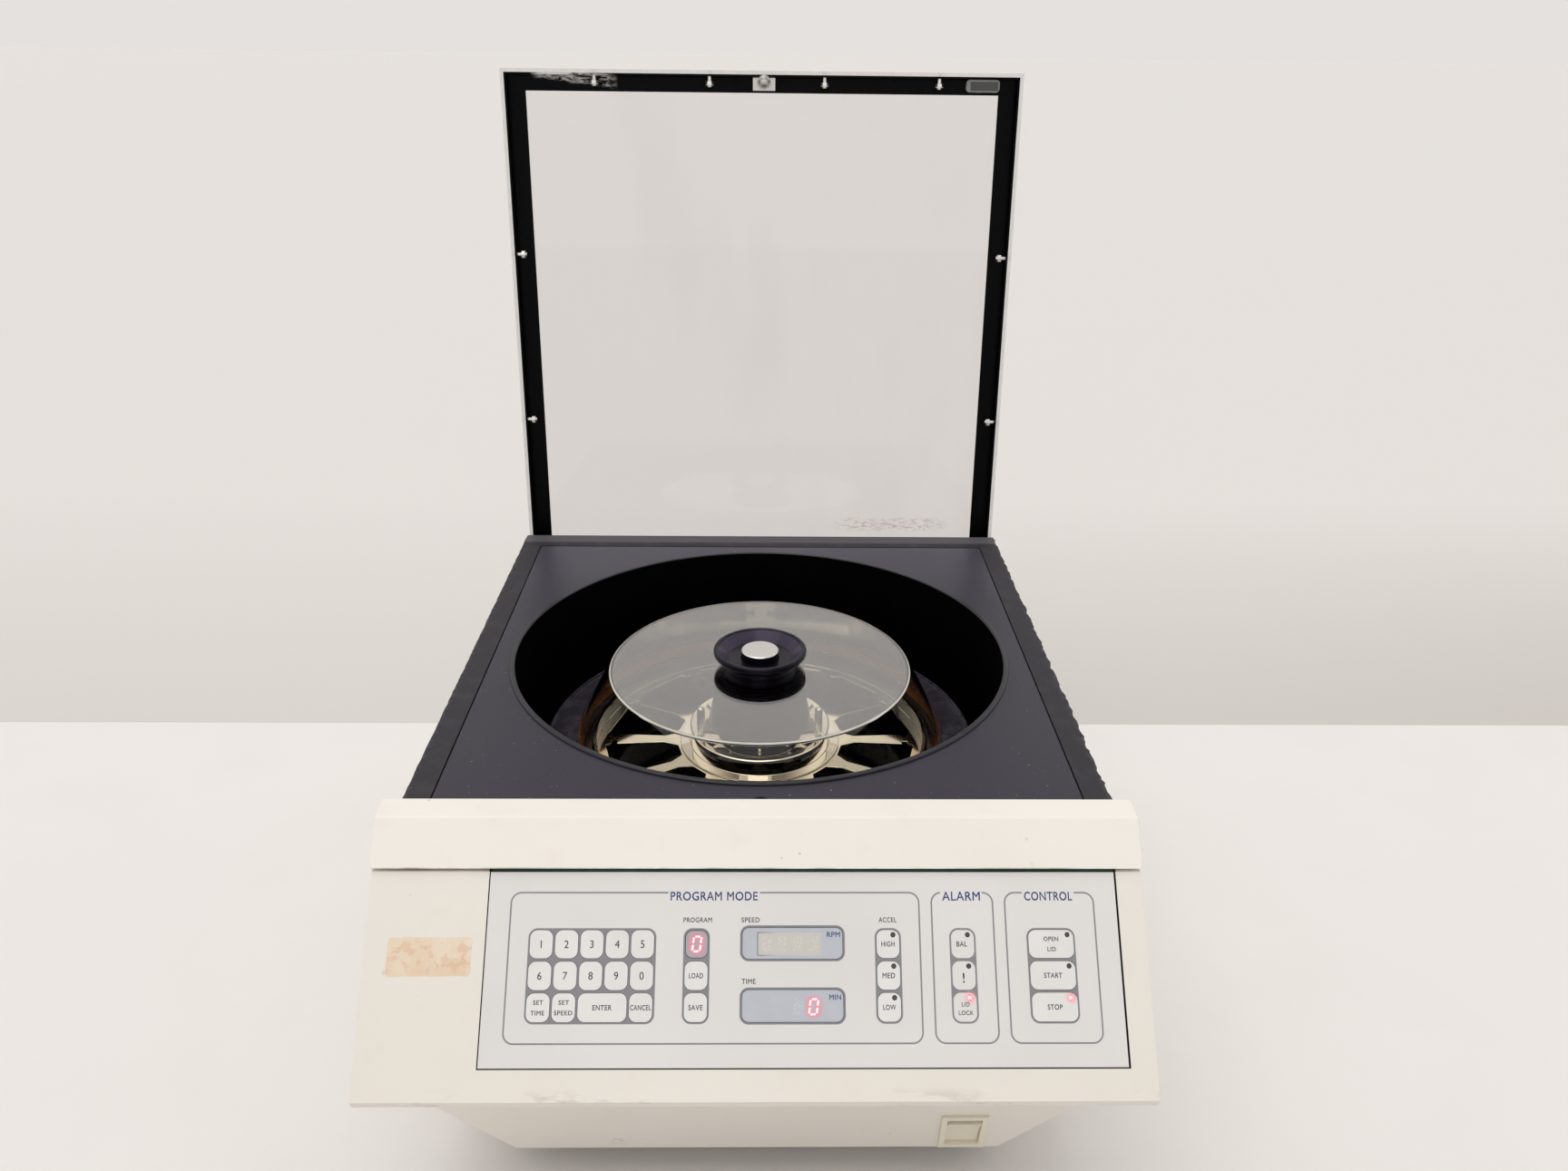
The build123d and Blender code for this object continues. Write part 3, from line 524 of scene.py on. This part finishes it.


# ---------------------------------------------------------------------------------------------
# The sealed head is a glossy black dish. Its raised rim has grey scuffs and is painted a paler
# violet-grey as a painted reflection. It drops onto the drive spindle and lifts out with all that
# stands in it.
head_black = Finish("head_black", paint(8, 6, 9), 0.12, Specular_IOR_Level=0.75)
x, y, _ = head_black.spot()
# Painted reflection: the raised rim is painted paler, with the scuffs over it.
rim_side = (x ** 2 + y ** 2).ramp(114.0 ** 2, 118.0 ** 2)
scuff = head_black.noise(90.0, 3, 0.5, (1, 1, 0.2)).ramp(0.3, 0.9) * rim_side
rim_sheen_tone = head_black.mix(rim_side, paint(7, 6, 8), paint(40, 37, 46))
head_black.set("Base Color", head_black.mix(scuff, rim_sheen_tone, paint(74, 69, 80)))
head_black.set("Roughness", 0.10 + scuff * 0.25)
dish = turned("head_dish", [
    (144, -62.6), (144, -66.5), (120, -68.5), (116, -74), (110, -103), (106, -106.5),
    (10.05, -106.5), (10.05, -91), (18, -91), (18, -104), (104, -104), (106.5, -101.5), (109, -72),
    (113, -72), (113, -62), (124, -62), (124, -64), (142, -64), (142, -62.6)],
    steps=160, rounding=0.5)
fit(dish, "head", "bowl_black", head_black, "head_base")


# ---------------------------------------------------------------------------------------------
# The carrier plate is pressed from bright sheet, with twelve windows for the slide holders. Its
# raised flange lies under the black rim and takes the dish's glossy black, as painted shade and a
# painted reflection of the black bowl wall.
def steel(name, tone, roughness, brush=(1, 1, 60), strength=0.06, spread=0.10):
    """Bright metal whose brush marks run across the squeezed axis."""
    made = Finish(name, tone, roughness, 1.0)
    brushing = made.noise(260.0, 3, 0.6, brush)
    stain = made.noise(22.0, 3).ramp(0.4, 0.8)
    stained = tuple(c * 0.78 for c in tone[:3]) + (1.0,)
    made.set("Base Color", made.mix(stain * 0.25, tone, stained))
    made.set("Roughness", brushing * spread + stain * spread * 0.5 + (roughness - spread * 0.6))
    made.bump(brushing, strength, 0.0002)
    return made


plate_steel = steel("plate_steel", paint(252, 244, 226), 0.06, brush=(1, 1, 1),
                    strength=0.008, spread=0.04)
carrier = dress("carrier_plate", plate_steel, 0.7, 1)
shaded_flange_bottom = -69.4
# Painted shade: the flange's faces get the dish's black finish.
refinish(carrier, head_black, lambda middle, normal: middle.z > shaded_flange_bottom)


# ---------------------------------------------------------------------------------------------
# The hub is turned from steel and polished: a stepped cup round a post, with two guide posts for
# the cover and six studs that hold it down.
polished = steel("polished_steel", paint(250, 243, 232), 0.04, brush=(1, 1, 30),
                 strength=0.004, spread=0.02)
hub = turned("hub_cup", [
    (10.05, -91), (16, -91), (16, -72), (29.7, -72), (29.7, -70), (54, -70), (54, -68.9),
    (47.4, -68.9), (47.4, -58.8), (46.6, -58), (43, -58), (28, -67), (9, -67), (9, -24.5),
    (8, -23.5), (5.6, -23.5), (5.6, -36), (0, -36), (0, -70), (10.05, -70)],
    steps=128, rounding=0.4)


def add_pin(radius, low, high, x, y, rounding):
    """A round-ended pin joined to the hub."""
    deselect()
    bpy.ops.mesh.primitive_cylinder_add(
        vertices=24, radius=radius / 1000, depth=(high - low) / 1000,
        location=at(x, y, (low + high) / 2))
    bpy.ops.object.transform_apply(location=True, rotation=True, scale=True)
    edit_all()
    bpy.ops.mesh.bevel(offset=rounding / 1000, segments=3)
    end_edit()
    bpy.ops.object.shade_smooth_by_angle(angle=radians(40))
    hub.select_set(True)
    bpy.context.view_layer.objects.active = hub
    bpy.ops.object.join()


post_x, post_y, stud_ring = 39.2, -15.4, 21
for side in (-1, 1):
    add_pin(radius=2.4, low=-61.0, high=-38.6, x=side * post_x, y=post_y, rounding=1.4)
for i in range(6):
    angle = radians(30 + 60 * i)
    add_pin(radius=1.6, low=-67.2, high=-63.6, x=stud_ring * cos(angle),
            y=stud_ring * sin(angle), rounding=0.5)
fit(hub, "head", "polished_steel", polished, "head_hub")


# ---------------------------------------------------------------------------------------------
# The cover is a moulded clear disc with a cone-shaped skirt that has gone amber towards its edge.
# The disc is glossy and a little hazy, and its edge is painted as a thin pale line, a painted
# highlight.
def mottled(name, scale, detail, dark, light, colour, roughness, metallic=0.0, **fixed):
    """A finish whose tone wanders between two colours."""
    made = Finish(name, colour, roughness, metallic, **fixed)
    made.set("Base Color", made.mix(made.noise(scale, detail), dark, light))
    return made


cone_clear = Finish("cone_clear", paint(236, 234, 226), 0.02, Transmission_Weight=1.0, IOR=1.35)
_, _, z = cone_clear.spot()
amber = z.ramp(-30.0, -58.0) ** 2
cone_clear.set("Base Color", cone_clear.mix(amber, paint(246, 244, 238), paint(214, 160, 92)))
cone_clear.set("Roughness", cone_clear.noise(14.0, 3).ramp(0.4, 0.8) * 0.03 + 0.01)
disc_clear = Finish("disc_clear", paint(246, 246, 240), 0.02, Transmission_Weight=1.0, IOR=1.6,
                    Coat_Weight=1.0, Coat_IOR=1.7, Coat_Roughness=0.03)
haze = disc_clear.noise(14.0, 3).ramp(0.4, 0.8)
disc_clear.set("Base Color", disc_clear.mix(haze, paint(250, 247, 238), paint(236, 231, 220)))
disc_clear.set("Roughness", haze * 0.03 + 0.01)
# Painted highlight: the disc's edge is painted pale and opaque.
disc_edge_highlight = mottled("disc_edge_highlight", 60.0, 3, paint(186, 180, 170), paint(226, 222, 214),
                    paint(206, 202, 194), 0.3)
cone_rim = mottled("cone_rim", 30.0, 3, paint(222, 154, 80), paint(194, 122, 58),
                   paint(214, 146, 74), 0.1, Transmission_Weight=0.55, IOR=1.45)
cover = turned("cover_disc", [
    (16.3, -12.2), (99, -12.2), (100, -13), (122, -54), (122, -61.7), (119, -61.7), (119, -54.7),
    (97.7, -15.2), (16.3, -15.2)], steps=192, rounding=0.3)
fit(cover, "cover", "cover_clear", cone_clear, "clear_cover")
disc_bottom, edge_bottom, edge_radius, rim_top = -16.0, -13.1, 98.5, -53.5
refinish(cover, disc_clear, lambda middle, normal: (
    middle.z > disc_bottom and abs(normal.z) > 0.9))
refinish(cover, disc_edge_highlight, lambda middle, normal: (
    middle.z > edge_bottom and middle.xy.length > edge_radius and abs(normal.z) <= 0.9))
refinish(cover, cone_rim, lambda middle, normal: middle.z < rim_top)


# ---------------------------------------------------------------------------------------------
# The knob is a turned spool of glossy black plastic, with faint turning rings and a painted violet
# sheen on the dished wall round the button. It clamps the cover over a black bell that sits on the
# hub.
knob_black = Finish("knob_black", paint(22, 20, 28), 0.2, Specular_IOR_Level=0.22,
                    Specular_Tint=(0.8, 0.74, 1.0, 1.0))
rings = knob_black.noise(30.0, 2, 0.55, (0.2, 0.2, 40))
knob_black.set("Roughness", 0.14 + rings * 0.12)
x, y, z = knob_black.spot()
radius = (x ** 2 + y ** 2) ** 0.5
# Painted sheen: the dished wall round the button is painted a paler violet.
dished_wall_sheen = radius.ramp(20.6, 21.4) * radius.ramp(27.6, 27.0) * z.ramp(-6.7, -6.2)
knob_tone = knob_black.mix(rings * 0.4, paint(9, 7, 14), paint(20, 18, 29))
knob_black.set("Base Color", knob_black.mix(dished_wall_sheen * 0.8, knob_tone, paint(62, 56, 74)))
knob = turned("knob_spool", [
    (5.3, -21), (15.9, -21), (15.9, -12.2), (23.5, -12.2), (23.5, -8.6), (25.6, -7.0),
    (29.6, -4.8), (30.8, -3.2), (30.8, -0.8), (30, 0), (28.2, 0), (27.2, -0.7), (21, -6.5),
    (12.7, -6.5), (12.7, -19.5), (5.3, -19.5)], steps=128, rounding=0.35)
fit(knob, "cover", "knob_black", knob_black, "cover_knob")
bell = turned("knob_bell", [
    (15.95, -15.25), (29.6, -15.25), (29.6, -31), (34.6, -54), (34.6, -56.5), (31.8, -56.5),
    (26.8, -32), (26.8, -29), (9.3, -29), (9.3, -23), (6, -23), (6, -21), (15.95, -21)],
    steps=128, rounding=0.35)
fit(bell, "cover", "knob_black", knob_black, "knob_hub")


# ---------------------------------------------------------------------------------------------
# The button is a turned cap with a brushed steel face and black sides, on a stem that frees the
# cover when it is pressed.
button_steel = steel("button_steel", paint(224, 221, 216), 0.30, brush=(1, 1, 1))
button = turned("button_cap", [
    (0, -23.2), (5, -23.2), (5, -8), (12.4, -8), (12.4, -1.6), (11.8, -1.0), (0, -1.0)],
    steps=96, rounding=0.2)
fit(button, "button", "steel", button_steel, "push_button")
face_bottom = -1.9
refinish(button, knob_black, lambda middle, normal: middle.z < face_bottom)


# ---------------------------------------------------------------------------------------------
# The lid is a folded sheet of clear plastic with pale sawn edges. It has faint vertical smears,
# and the glue of an old strip has left a brown trace low on the right.
lid_clear = Finish("lid_clear", paint(236, 236, 237), 0.02, Transmission_Weight=1.0, IOR=1.22)
x, _, z = lid_clear.spot()
smear = lid_clear.noise(14.0, 4, 0.6, (1.0, 1.0, 0.25)).ramp(0.5, 0.8)
trace_x, trace_z = 106.0, 3.5
trace = abs(x - trace_x).ramp(50.0, 32.0) * abs(z - trace_z).ramp(6.5, 3.0)
trace = trace * lid_clear.noise(340.0, 5, 0.8, (0.5, 1, 1.6)).ramp(0.52, 0.60)
lid_tone = lid_clear.mix(smear, paint(240, 239, 240), paint(234, 232, 233))
lid_clear.set("Base Color", lid_clear.mix(trace * 0.65, lid_tone, paint(140, 104, 94)))
lid_clear.set("Roughness", 0.015 + smear * 0.05)
lid = dress("lid_panel", lid_clear, 0.3)
sawn_edge = Finish("lid_sawn_edge", paint(228, 228, 226), 0.5, Transmission_Weight=0.25, IOR=1.49)
saw_marks = sawn_edge.noise(220.0, 3)
sawn_edge.set("Base Color", sawn_edge.mix(saw_marks, paint(234, 233, 231), paint(214, 213, 212)))
sawn_edge.bump(saw_marks, 0.2, 0.0003)
hinge_y, hinge_z, swing, sawn_height = 183.6, -20.0, radians(94.12), 21.1
refinish(lid, sawn_edge, lambda middle, normal: (
    (middle.y - hinge_y) * sin(swing) + (middle.z - hinge_z) * cos(swing) < sawn_height))


# ---------------------------------------------------------------------------------------------
# Black angle strips line the lid's front and sides. Their coating is rubbed all along, and torn to
# a white streak at the top left.
strip_black = Finish("strip_black", paint(3, 3, 4), 0.4, Specular_IOR_Level=0.05)
x, _, z = strip_black.spot()
rubbed = strip_black.noise(130.0, 4, 0.6, (1, 1, 2)).ramp(0.5, 0.8)
streak_x, streak_z, streak_tilt = -136.0, 341.88, 0.12
streak_line = abs(z - streak_z + (x - streak_x) * streak_tilt).ramp(5.5, 2.5)
streak = abs(x - streak_x).ramp(31.0, 24.0) * streak_line
streak = streak * strip_black.noise(110.0, 5, 0.75, (0.35, 1, 1.3)).ramp(0.46, 0.56)
strip_tone = strip_black.mix(rubbed * 0.3, paint(2, 2, 3), paint(22, 21, 23))
strip_black.set("Base Color", strip_black.mix(streak * 0.95, strip_tone, paint(212, 210, 208)))
strip_black.set("Roughness", 0.34 + rubbed * 0.3)
dress("lid_frame", strip_black, 0.25)


# ---------------------------------------------------------------------------------------------
# Small plated screws with flanged nuts hold the strips to the lid. The striker is a duller steel
# plate with a stud, screwed to the middle of the lid's free edge.
brushed = steel("brushed_steel", paint(206, 204, 200), 0.34)
striker_steel = steel("striker_steel", paint(168, 165, 162), 0.26)
dress("lid_screws", brushed, 0.2)
dress("latch_striker", striker_steel, 0.3)


# ---------------------------------------------------------------------------------------------
# The hinge is a black arm on each side, turning on a steel pin in the casing. The latch bolt is a
# plated fork under the deck that closes round the striker's stud.
dress("hinge_arms", strip_black, 0.5)
dress("hinge_pins", brushed, 0.4)
dress("latch_bolt", brushed, 0.3)


# ---------------------------------------------------------------------------------------------
# A flat block at the lid's top right corner holds the magnet for the lid switch. It is grey
# plastic with a black slab let into its face.
magnet_block = Finish("magnet_block", paint(170, 176, 172), 0.25, Specular_IOR_Level=0.6)
x, _, z = magnet_block.spot()
slab_x, slab_z = 160.6, 338.2
slab = abs(x - slab_x).ramp(10.4, 9.8) * abs(z - slab_z).ramp(3.3, 2.9)
block_grain = magnet_block.noise(300.0, 2)
block_tone = magnet_block.mix(block_grain, paint(92, 94, 94), paint(124, 126, 126))
magnet_block.set("Base Color", magnet_block.mix(slab, block_tone, paint(18, 18, 20)))
dress("lid_magnet", magnet_block, 0.4)


# ---------------------------------------------------------------------------------------------
# The keypad film is polyester, screen-printed with grey frames and key grounds and stuck into the
# console. The three alarm fields are printed only; all other fields are windows or domed keys.
ROWS = (35.2, 50.1, 64.9)
PROGRAM_X, ACCEL_X, ALARM_X, CONTROL_X = -30.2, 64.7, 101.9, 146.0
INK_EDGE = (0.08, -0.08)
GLOW_RED = paint(255, 150, 160)


def lamp_glow(x, s, lamp_x):
    """Red light on the film round a lit lamp of the lowest row."""
    lamp_s = 60.5
    return (((x - lamp_x) ** 2 + (s - lamp_s) ** 2) ** 0.5).ramp(3.6, 1.2) * 0.75


film = Finish("keypad_film", paint(217, 217, 214), 0.5)
x, s, _ = panel_spot(film)
frame_s, frame_tall, ground_s, ground_tall, ground_corner = 45.95, 71.1, 50.05, 45.0, 4.4
printed = []
for x_mid, width, title_x, title_half in (
        (-21.15, 203.7, -21.9, 22.8), (102.4, 30.8, 102.1, 10.4), (146.3, 44.8, 146.0, 13.0)):
    line = abs(field(x, s, x_mid, frame_s, width, frame_tall, 5.0)).ramp(0.50, 0.30)
    title_gap = abs(x - title_x).ramp(title_half + 0.2, title_half) * s.ramp(20.0, 19.0)
    printed.append(line * (1 - title_gap))
for x_mid, width in (
        (-81.8, 63.2), (PROGRAM_X, 13.1), (ACCEL_X, 13.1), (ALARM_X, 13.1), (CONTROL_X, 24.2)):
    ground = field(x, s, x_mid, ground_s, width, ground_tall, ground_corner)
    printed.append(ground.ramp(*INK_EDGE))
window_x, window_width, window_tall = 17.3, 52.0, 17.2
for s_mid in (34.8, 64.2):
    ground = field(x, s, window_x, s_mid, window_width, window_tall, ground_corner)
    printed.append(ground.ramp(*INK_EDGE))
alarms = [field(x, s, ALARM_X, s_mid, 11.3, 13.4, 3.6).ramp(*INK_EDGE) for s_mid in ROWS]
ink = reduce(Shade.most, printed) * (1 - reduce(Shade.most, alarms))
handled = film.noise(7.0, 4).ramp(0.4, 0.75)
film_tone = film.mix(handled, paint(217, 215, 213), paint(210, 208, 205))
film_tone = film.mix(ink, film_tone, paint(128, 127, 133))
film.set("Base Color", film.mix(lamp_glow(x, s, 104.5), film_tone, GLOW_RED))
film.bump(film.noise(2200.0, 2), 0.12, 0.0001)
dress("membrane_overlay", film, 0.12)


# ---------------------------------------------------------------------------------------------
# The keys are parts of the same film, raised a little over their domes and greyed by thumbs. Red
# light from the lowest control lamp falls on the stop key.
key_film = Finish("key_film", paint(224, 223, 219), 0.48)
x, s, _ = panel_spot(key_film)
thumbed = key_film.noise(30.0, 3).ramp(0.45, 0.75)
key_tone = key_film.mix(thumbed * 0.6, paint(220, 220, 218), paint(211, 209, 206))
key_film.set("Base Color", key_film.mix(lamp_glow(x, s, 154.3), key_tone, GLOW_RED))
key_film.bump(key_film.noise(2200.0, 2), 0.12, 0.0001)
for node in sorted(frame["nodes"]):
    if node.startswith("key_"):
        dress(node, key_film, 0.2)


# ---------------------------------------------------------------------------------------------
# The display windows are blue-grey panes over the digit modules, which show as beige fields with
# faint dot cells. A little red light spreads round each lit digit.
LIT_DIGITS = (("program", -30.1, 35.1), ("time", 27.6, 64.6))
pane = Finish("window_pane", paint(180, 184, 191), 0.3)
x, s, _ = panel_spot(pane)
pane_tone = pane.mix(pane.noise(120.0, 2), paint(174, 179, 188), paint(184, 188, 196))
program_pane = x.ramp(-24.0, -25.0)
pane_tone = pane.mix(program_pane, pane_tone, paint(166, 162, 170))
speed_s, time_s, first_cell, cell_pitch = 35.1, 64.6, 4.6, 7.7
module = field(x, s, 15.75, speed_s, 31.5, 10.8, 0.3)
# Painted shade: a thin dark line along the left end of the module's edge.
module_edge_shade = abs(module).ramp(0.30, 0.10) * x.ramp(10.0, 0.0)
pane_tone = pane.mix(module.ramp(0.1, -0.1), pane_tone, paint(192, 190, 184))
pane_tone = pane.mix(module_edge_shade, pane_tone, paint(96, 92, 92))
dots = pane.node("ShaderNodeTexVoronoi", {}, {"Vector": pane.place(), "Scale": 900.0})
dots = dots.ramp(0.55, 0.25)
for i in range(4):
    cell = field(x, s, first_cell + cell_pitch * i, speed_s, 4.8, 7.4, 0.5).ramp(0.2, -0.2)
    pane_tone = pane.mix(cell * dots * 0.35, pane_tone, paint(226, 222, 214))
unlit = field(x, s, 20.3, time_s, 5.0, 7.4, 0.5).ramp(0.2, -0.2)
pane_tone = pane.mix(unlit * dots * 0.35, pane_tone, paint(222, 220, 214))
for _, x_mid, s_mid in LIT_DIGITS:
    halo = abs(field(x, s, x_mid, s_mid, 4.6, 7.0, 1.5)).ramp(2.6, 0.0)
    pane_tone = pane.mix(halo * 0.8, pane_tone, paint(236, 132, 146))
pane.set("Base Color", pane_tone)
dress("display_windows", pane, 0.1)


# ---------------------------------------------------------------------------------------------
# Nine small lamps sit behind the film, one for each key or alarm that has a state. Two of them,
# at lid lock and stop, are lit.
lamp_red = mottled("lamp_red", 600.0, 1, paint(58, 54, 52), paint(82, 78, 74),
                   paint(64, 60, 58), 0.3, Emission_Strength=1.0)
x, s, _ = panel_spot(lamp_red)
lowest_row, right_columns = s.ramp(57.0, 58.0), x.ramp(90.0, 91.0)
unlit_black, lit_pink = (0.0, 0.0, 0.0, 1.0), (2.2, 0.75, 0.85, 1.0)
lit = lamp_red.mix(lowest_row * right_columns, unlit_black, lit_pink)
lamp_red.set("Emission Color", lit)
dress("indicator_leds", lamp_red, 0.1)


# ---------------------------------------------------------------------------------------------
# Legends are printed in dark grey and blue-grey ink. Each is drawn as thin lettering and pressed
# to its measured width and height; a key's legend moves with the key.
def face_outwards():
    """Turns the faces of the active piece outwards."""
    edit_all()
    bpy.ops.mesh.normals_make_consistent(inside=False)
    end_edit()


def lay_on_panel(piece, x, s, width, tall, lift, thick):
    """Squeezes a flat drawing to its size and lays it on the panel, centred on x and s."""
    take(piece)
    lows = [min(v.co[i] for v in piece.data.vertices) for i in range(3)]
    highs = [max(v.co[i] for v in piece.data.vertices) for i in range(3)]
    grow_y = tall / (highs[1] - lows[1])
    grow_x = width / (highs[0] - lows[0]) if width else grow_y * 0.92
    rise = thick / (highs[2] - lows[2])
    for v in piece.data.vertices:
        across = (v.co.x - (lows[0] + highs[0]) / 2) * grow_x
        down = (v.co.y - (lows[1] + highs[1]) / 2) * -grow_y
        v.co = panel(x + across, s + down, lift + (v.co.z - lows[2]) * rise)
    face_outwards()
    return piece


def legend(name, words, x, s, width, tall, ink, body, lift, bold, gap=1.0):
    """Lettering of a width and height in millimetres, its strokes thickened by bold."""
    deselect()
    bpy.ops.object.text_add()
    text = bpy.context.object
    text.name = "legend_" + name
    text.data.body = words
    text.data.align_x = "CENTER"
    text.data.space_line = gap
    text.data.space_character = 1.1
    text.data.extrude = 0.01
    text.data.resolution_u = 4
    bpy.ops.object.convert(target="MESH")
    edit_all()
    bpy.ops.mesh.remove_doubles(threshold=0.0002)
    bpy.ops.mesh.normals_make_consistent(inside=False)
    bpy.ops.transform.shrink_fatten(value=bold)
    end_edit()
    piece = lay_on_panel(bpy.context.object, x, s, width, tall, lift, 0.05)
    return fit(piece, body, "black_plastic", ink)


digit_ink = mottled("digit_ink", 500.0, 2, paint(40, 40, 46), paint(64, 64, 70),
                    paint(74, 74, 80), 0.5)
word_ink = mottled("word_ink", 500.0, 2, paint(16, 20, 38), paint(38, 42, 64),
                   paint(70, 76, 100), 0.5)
title_ink = mottled("title_ink", 500.0, 2, paint(28, 44, 100), paint(54, 70, 124),
                    paint(62, 78, 128), 0.5)
on_key, on_film, on_pane = 0.13, -0.22, -0.62
columns = [-106.9 + 12.5 * i for i in range(5)]
for i, digit in enumerate("1234567890"):
    key = "key_" + digit
    legend(key, digit, columns[i % 5], ROWS[i // 5], None, 3.7, digit_ink, key + "_pad",
           on_key, bold=0.010)
for name, words, x, s, width, tall in (
        ("key_set_time", "SET\nTIME", columns[0], ROWS[2], 6.7, 7.0),
        ("key_set_speed", "SET\nSPEED", columns[1], ROWS[2], 9.0, 7.0),
        ("key_enter", "ENTER", -75.65, ROWS[2], 9.3, 2.5),
        ("key_cancel", "CANCEL", columns[4], ROWS[2], 10.2, 2.5),
        ("key_load", "LOAD", PROGRAM_X, ROWS[1], 7.0, 2.5),
        ("key_save", "SAVE", PROGRAM_X, ROWS[2], 7.0, 2.5),
        ("key_accel_high", "HIGH", ACCEL_X, ROWS[0], 6.6, 2.5),
        ("key_accel_medium", "MED", ACCEL_X, ROWS[1], 6.2, 2.5),
        ("key_accel_low", "LOW", ACCEL_X, ROWS[2], 6.3, 2.5),
        ("key_open_lid", "OPEN\nLID", CONTROL_X, ROWS[0], 7.4, 7.0),
        ("key_start", "START", CONTROL_X, ROWS[1], 9.0, 2.5),
        ("key_stop", "STOP", CONTROL_X, ROWS[2], 7.4, 2.5)):
    legend(name, words, x, s, width, tall, word_ink, name + "_pad", on_key,
           bold=0.026, gap=1.65)
for name, words, x, s, width, tall in (
        ("balance", "BAL", 101.5, 35.2, 5.3, 2.5),
        ("alert", "!", 101.7, 51.2, 0.9, 4.8),
        ("lid_lock", "LID\nLOCK", 102.2, 65.6, 7.2, 6.0),
        ("program", "PROGRAM", -29.9, 23.6, 14.2, 2.4),
        ("speed", "SPEED", -3.6, 23.6, 9.1, 2.4),
        ("time", "TIME", -4.3, 52.8, 6.8, 2.4),
        ("acceleration", "ACCEL", 64.8, 23.6, 8.9, 2.4)):
    legend(name, words, x, s, width, tall, word_ink, "instrument", on_film,
           bold=0.022, gap=1.4)
for name, words, x, s, width, tall, lift in (
        ("program_mode", "PROGRAM MODE", -21.9, 12.1, 43.6, 4.4, on_film),
        ("alarm", "ALARM", 102.1, 12.1, 19.1, 4.4, on_film),
        ("control", "CONTROL", 146.0, 12.1, 24.2, 4.4, on_film),
        ("speed_unit", "RPM", 37.7, 30.6, 6.6, 2.5, on_pane),
        ("time_unit", "MIN", 38.2, 60.2, 5.7, 2.5, on_pane)):
    legend(name, words, x, s, width, tall, title_ink, "instrument", lift, bold=0.030)


# ---------------------------------------------------------------------------------------------
# The lit digits are slanted noughts of six bright bars each, behind the panes. Each bar is given
# by its middle and its size, across and down.
lit_red = Finish("lit_segment", paint(255, 190, 196), 0.4, Emission_Strength=1.0)
lit_grain = lit_red.noise(900.0, 1).ramp(0.3, 0.7)
deep_glow, pale_glow = (1.0, 0.30, 0.36, 1.0), (1.25, 0.62, 0.66, 1.0)
lit_red.set("Emission Color", lit_red.mix(lit_grain, deep_glow, pale_glow))
slant, in_pane, bar_depth = 0.12, -0.56, 0.06
for name, x_mid, s_mid in LIT_DIGITS:
    bars = []
    for across, down, wide, tall in (
            (0, -3.5, 2.5, 0.9), (0, 3.5, 2.5, 0.9),
            (-1.9, -1.8, 0.95, 2.6), (-1.9, 1.8, 0.95, 2.6),
            (1.9, -1.8, 0.95, 2.6), (1.9, 1.8, 0.95, 2.6)):
        deselect()
        bpy.ops.mesh.primitive_cube_add(size=1)
        bar = bpy.context.object
        edit_all()
        bpy.ops.transform.resize(value=(wide / 1000, tall / 1000, bar_depth / 1000))
        bpy.ops.mesh.bevel(offset=0.00002, segments=1)
        end_edit()
        for v in bar.data.vertices:
            bar_x, bar_s = across + v.co.x * 1000, down - v.co.y * 1000
            v.co = panel(x_mid + bar_x - bar_s * slant, s_mid + bar_s, in_pane + v.co.z * 1000)
        bars.append(bar)
    deselect()
    for bar in bars:
        bar.select_set(True)
    bpy.context.view_layer.objects.active = bars[0]
    bpy.ops.object.join()
    nought = bpy.context.object
    nought.name = "lit_digit_" + name
    face_outwards()
    fit(nought, "instrument", "lamp_red", lit_red)


# ---------------------------------------------------------------------------------------------
# The mains switch is a yellower cream rocker in a frame of the same plastic, pressed into the
# tub's front.
switch_cream = cream("switch_cream", paint(232, 226, 208), paint(222, 214, 196))
dress("switch_bezel", switch_cream, 0.5)
dress("mains_rocker", switch_cream, 0.4)


# ---------------------------------------------------------------------------------------------
# Four moulded rubber feet are screwed under the tub. They are dark grey, with a coarse dull skin.
rubber = mottled("foot_rubber", 60.0, 3, paint(30, 29, 29), paint(48, 46, 45),
                 paint(34, 33, 33), 0.7)
rubber.bump(rubber.noise(700.0, 2), 0.3, 0.0003)
dress("rubber_feet", rubber, 0.8)


# ---------------------------------------------------------------------------------------------
# The back is closed by a sheet of the deck's black painted metal. A moulded black mains inlet is
# let into it, and painted screws hold the casing.
inlet_black = mottled("inlet_black", 80.0, 3, paint(22, 22, 24), paint(36, 36, 38),
                      paint(26, 26, 28), 0.4)
inlet_black.bump(inlet_black.noise(1200.0, 2), 0.1, 0.0002)
dress("mains_inlet", inlet_black, 0.3)
dress("rear_panel", deck_black, 0.3)
dress("case_screws", tub_cream, 0.2)


# ---------------------------------------------------------------------------------------------
# The machinery inside: a green control board, and the motor, its mount, the transformer and the
# latch solenoid in dull cast and laminated steel, with a ground spindle.
board_green = mottled("board_green", 90.0, 3, paint(28, 84, 52), paint(44, 104, 70),
                      paint(32, 92, 58), 0.4)
board_green.bump(board_green.noise(500.0, 2), 0.2, 0.0002)
dress("control_board", board_green, 0.1)
core = mottled("core_steel", 40.0, 3, paint(62, 62, 66), paint(84, 84, 88),
               paint(70, 70, 74), 0.45, 0.6)
core.bump(core.noise(600.0, 2), 0.2, 0.0003)
for node in ("motor_housing", "motor_mount_plate", "transformer", "latch_solenoid"):
    dress(node, core, 0.6)
dress("drive_spindle", brushed, 0.3)


# ---------------------------------------------------------------------------------------------
# The button's return spring is wound from steel wire. It is given a mesh of its own.
spring = dress("button_spring", brushed, 0.0)
at(0, 0, -8.0)
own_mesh(spring)
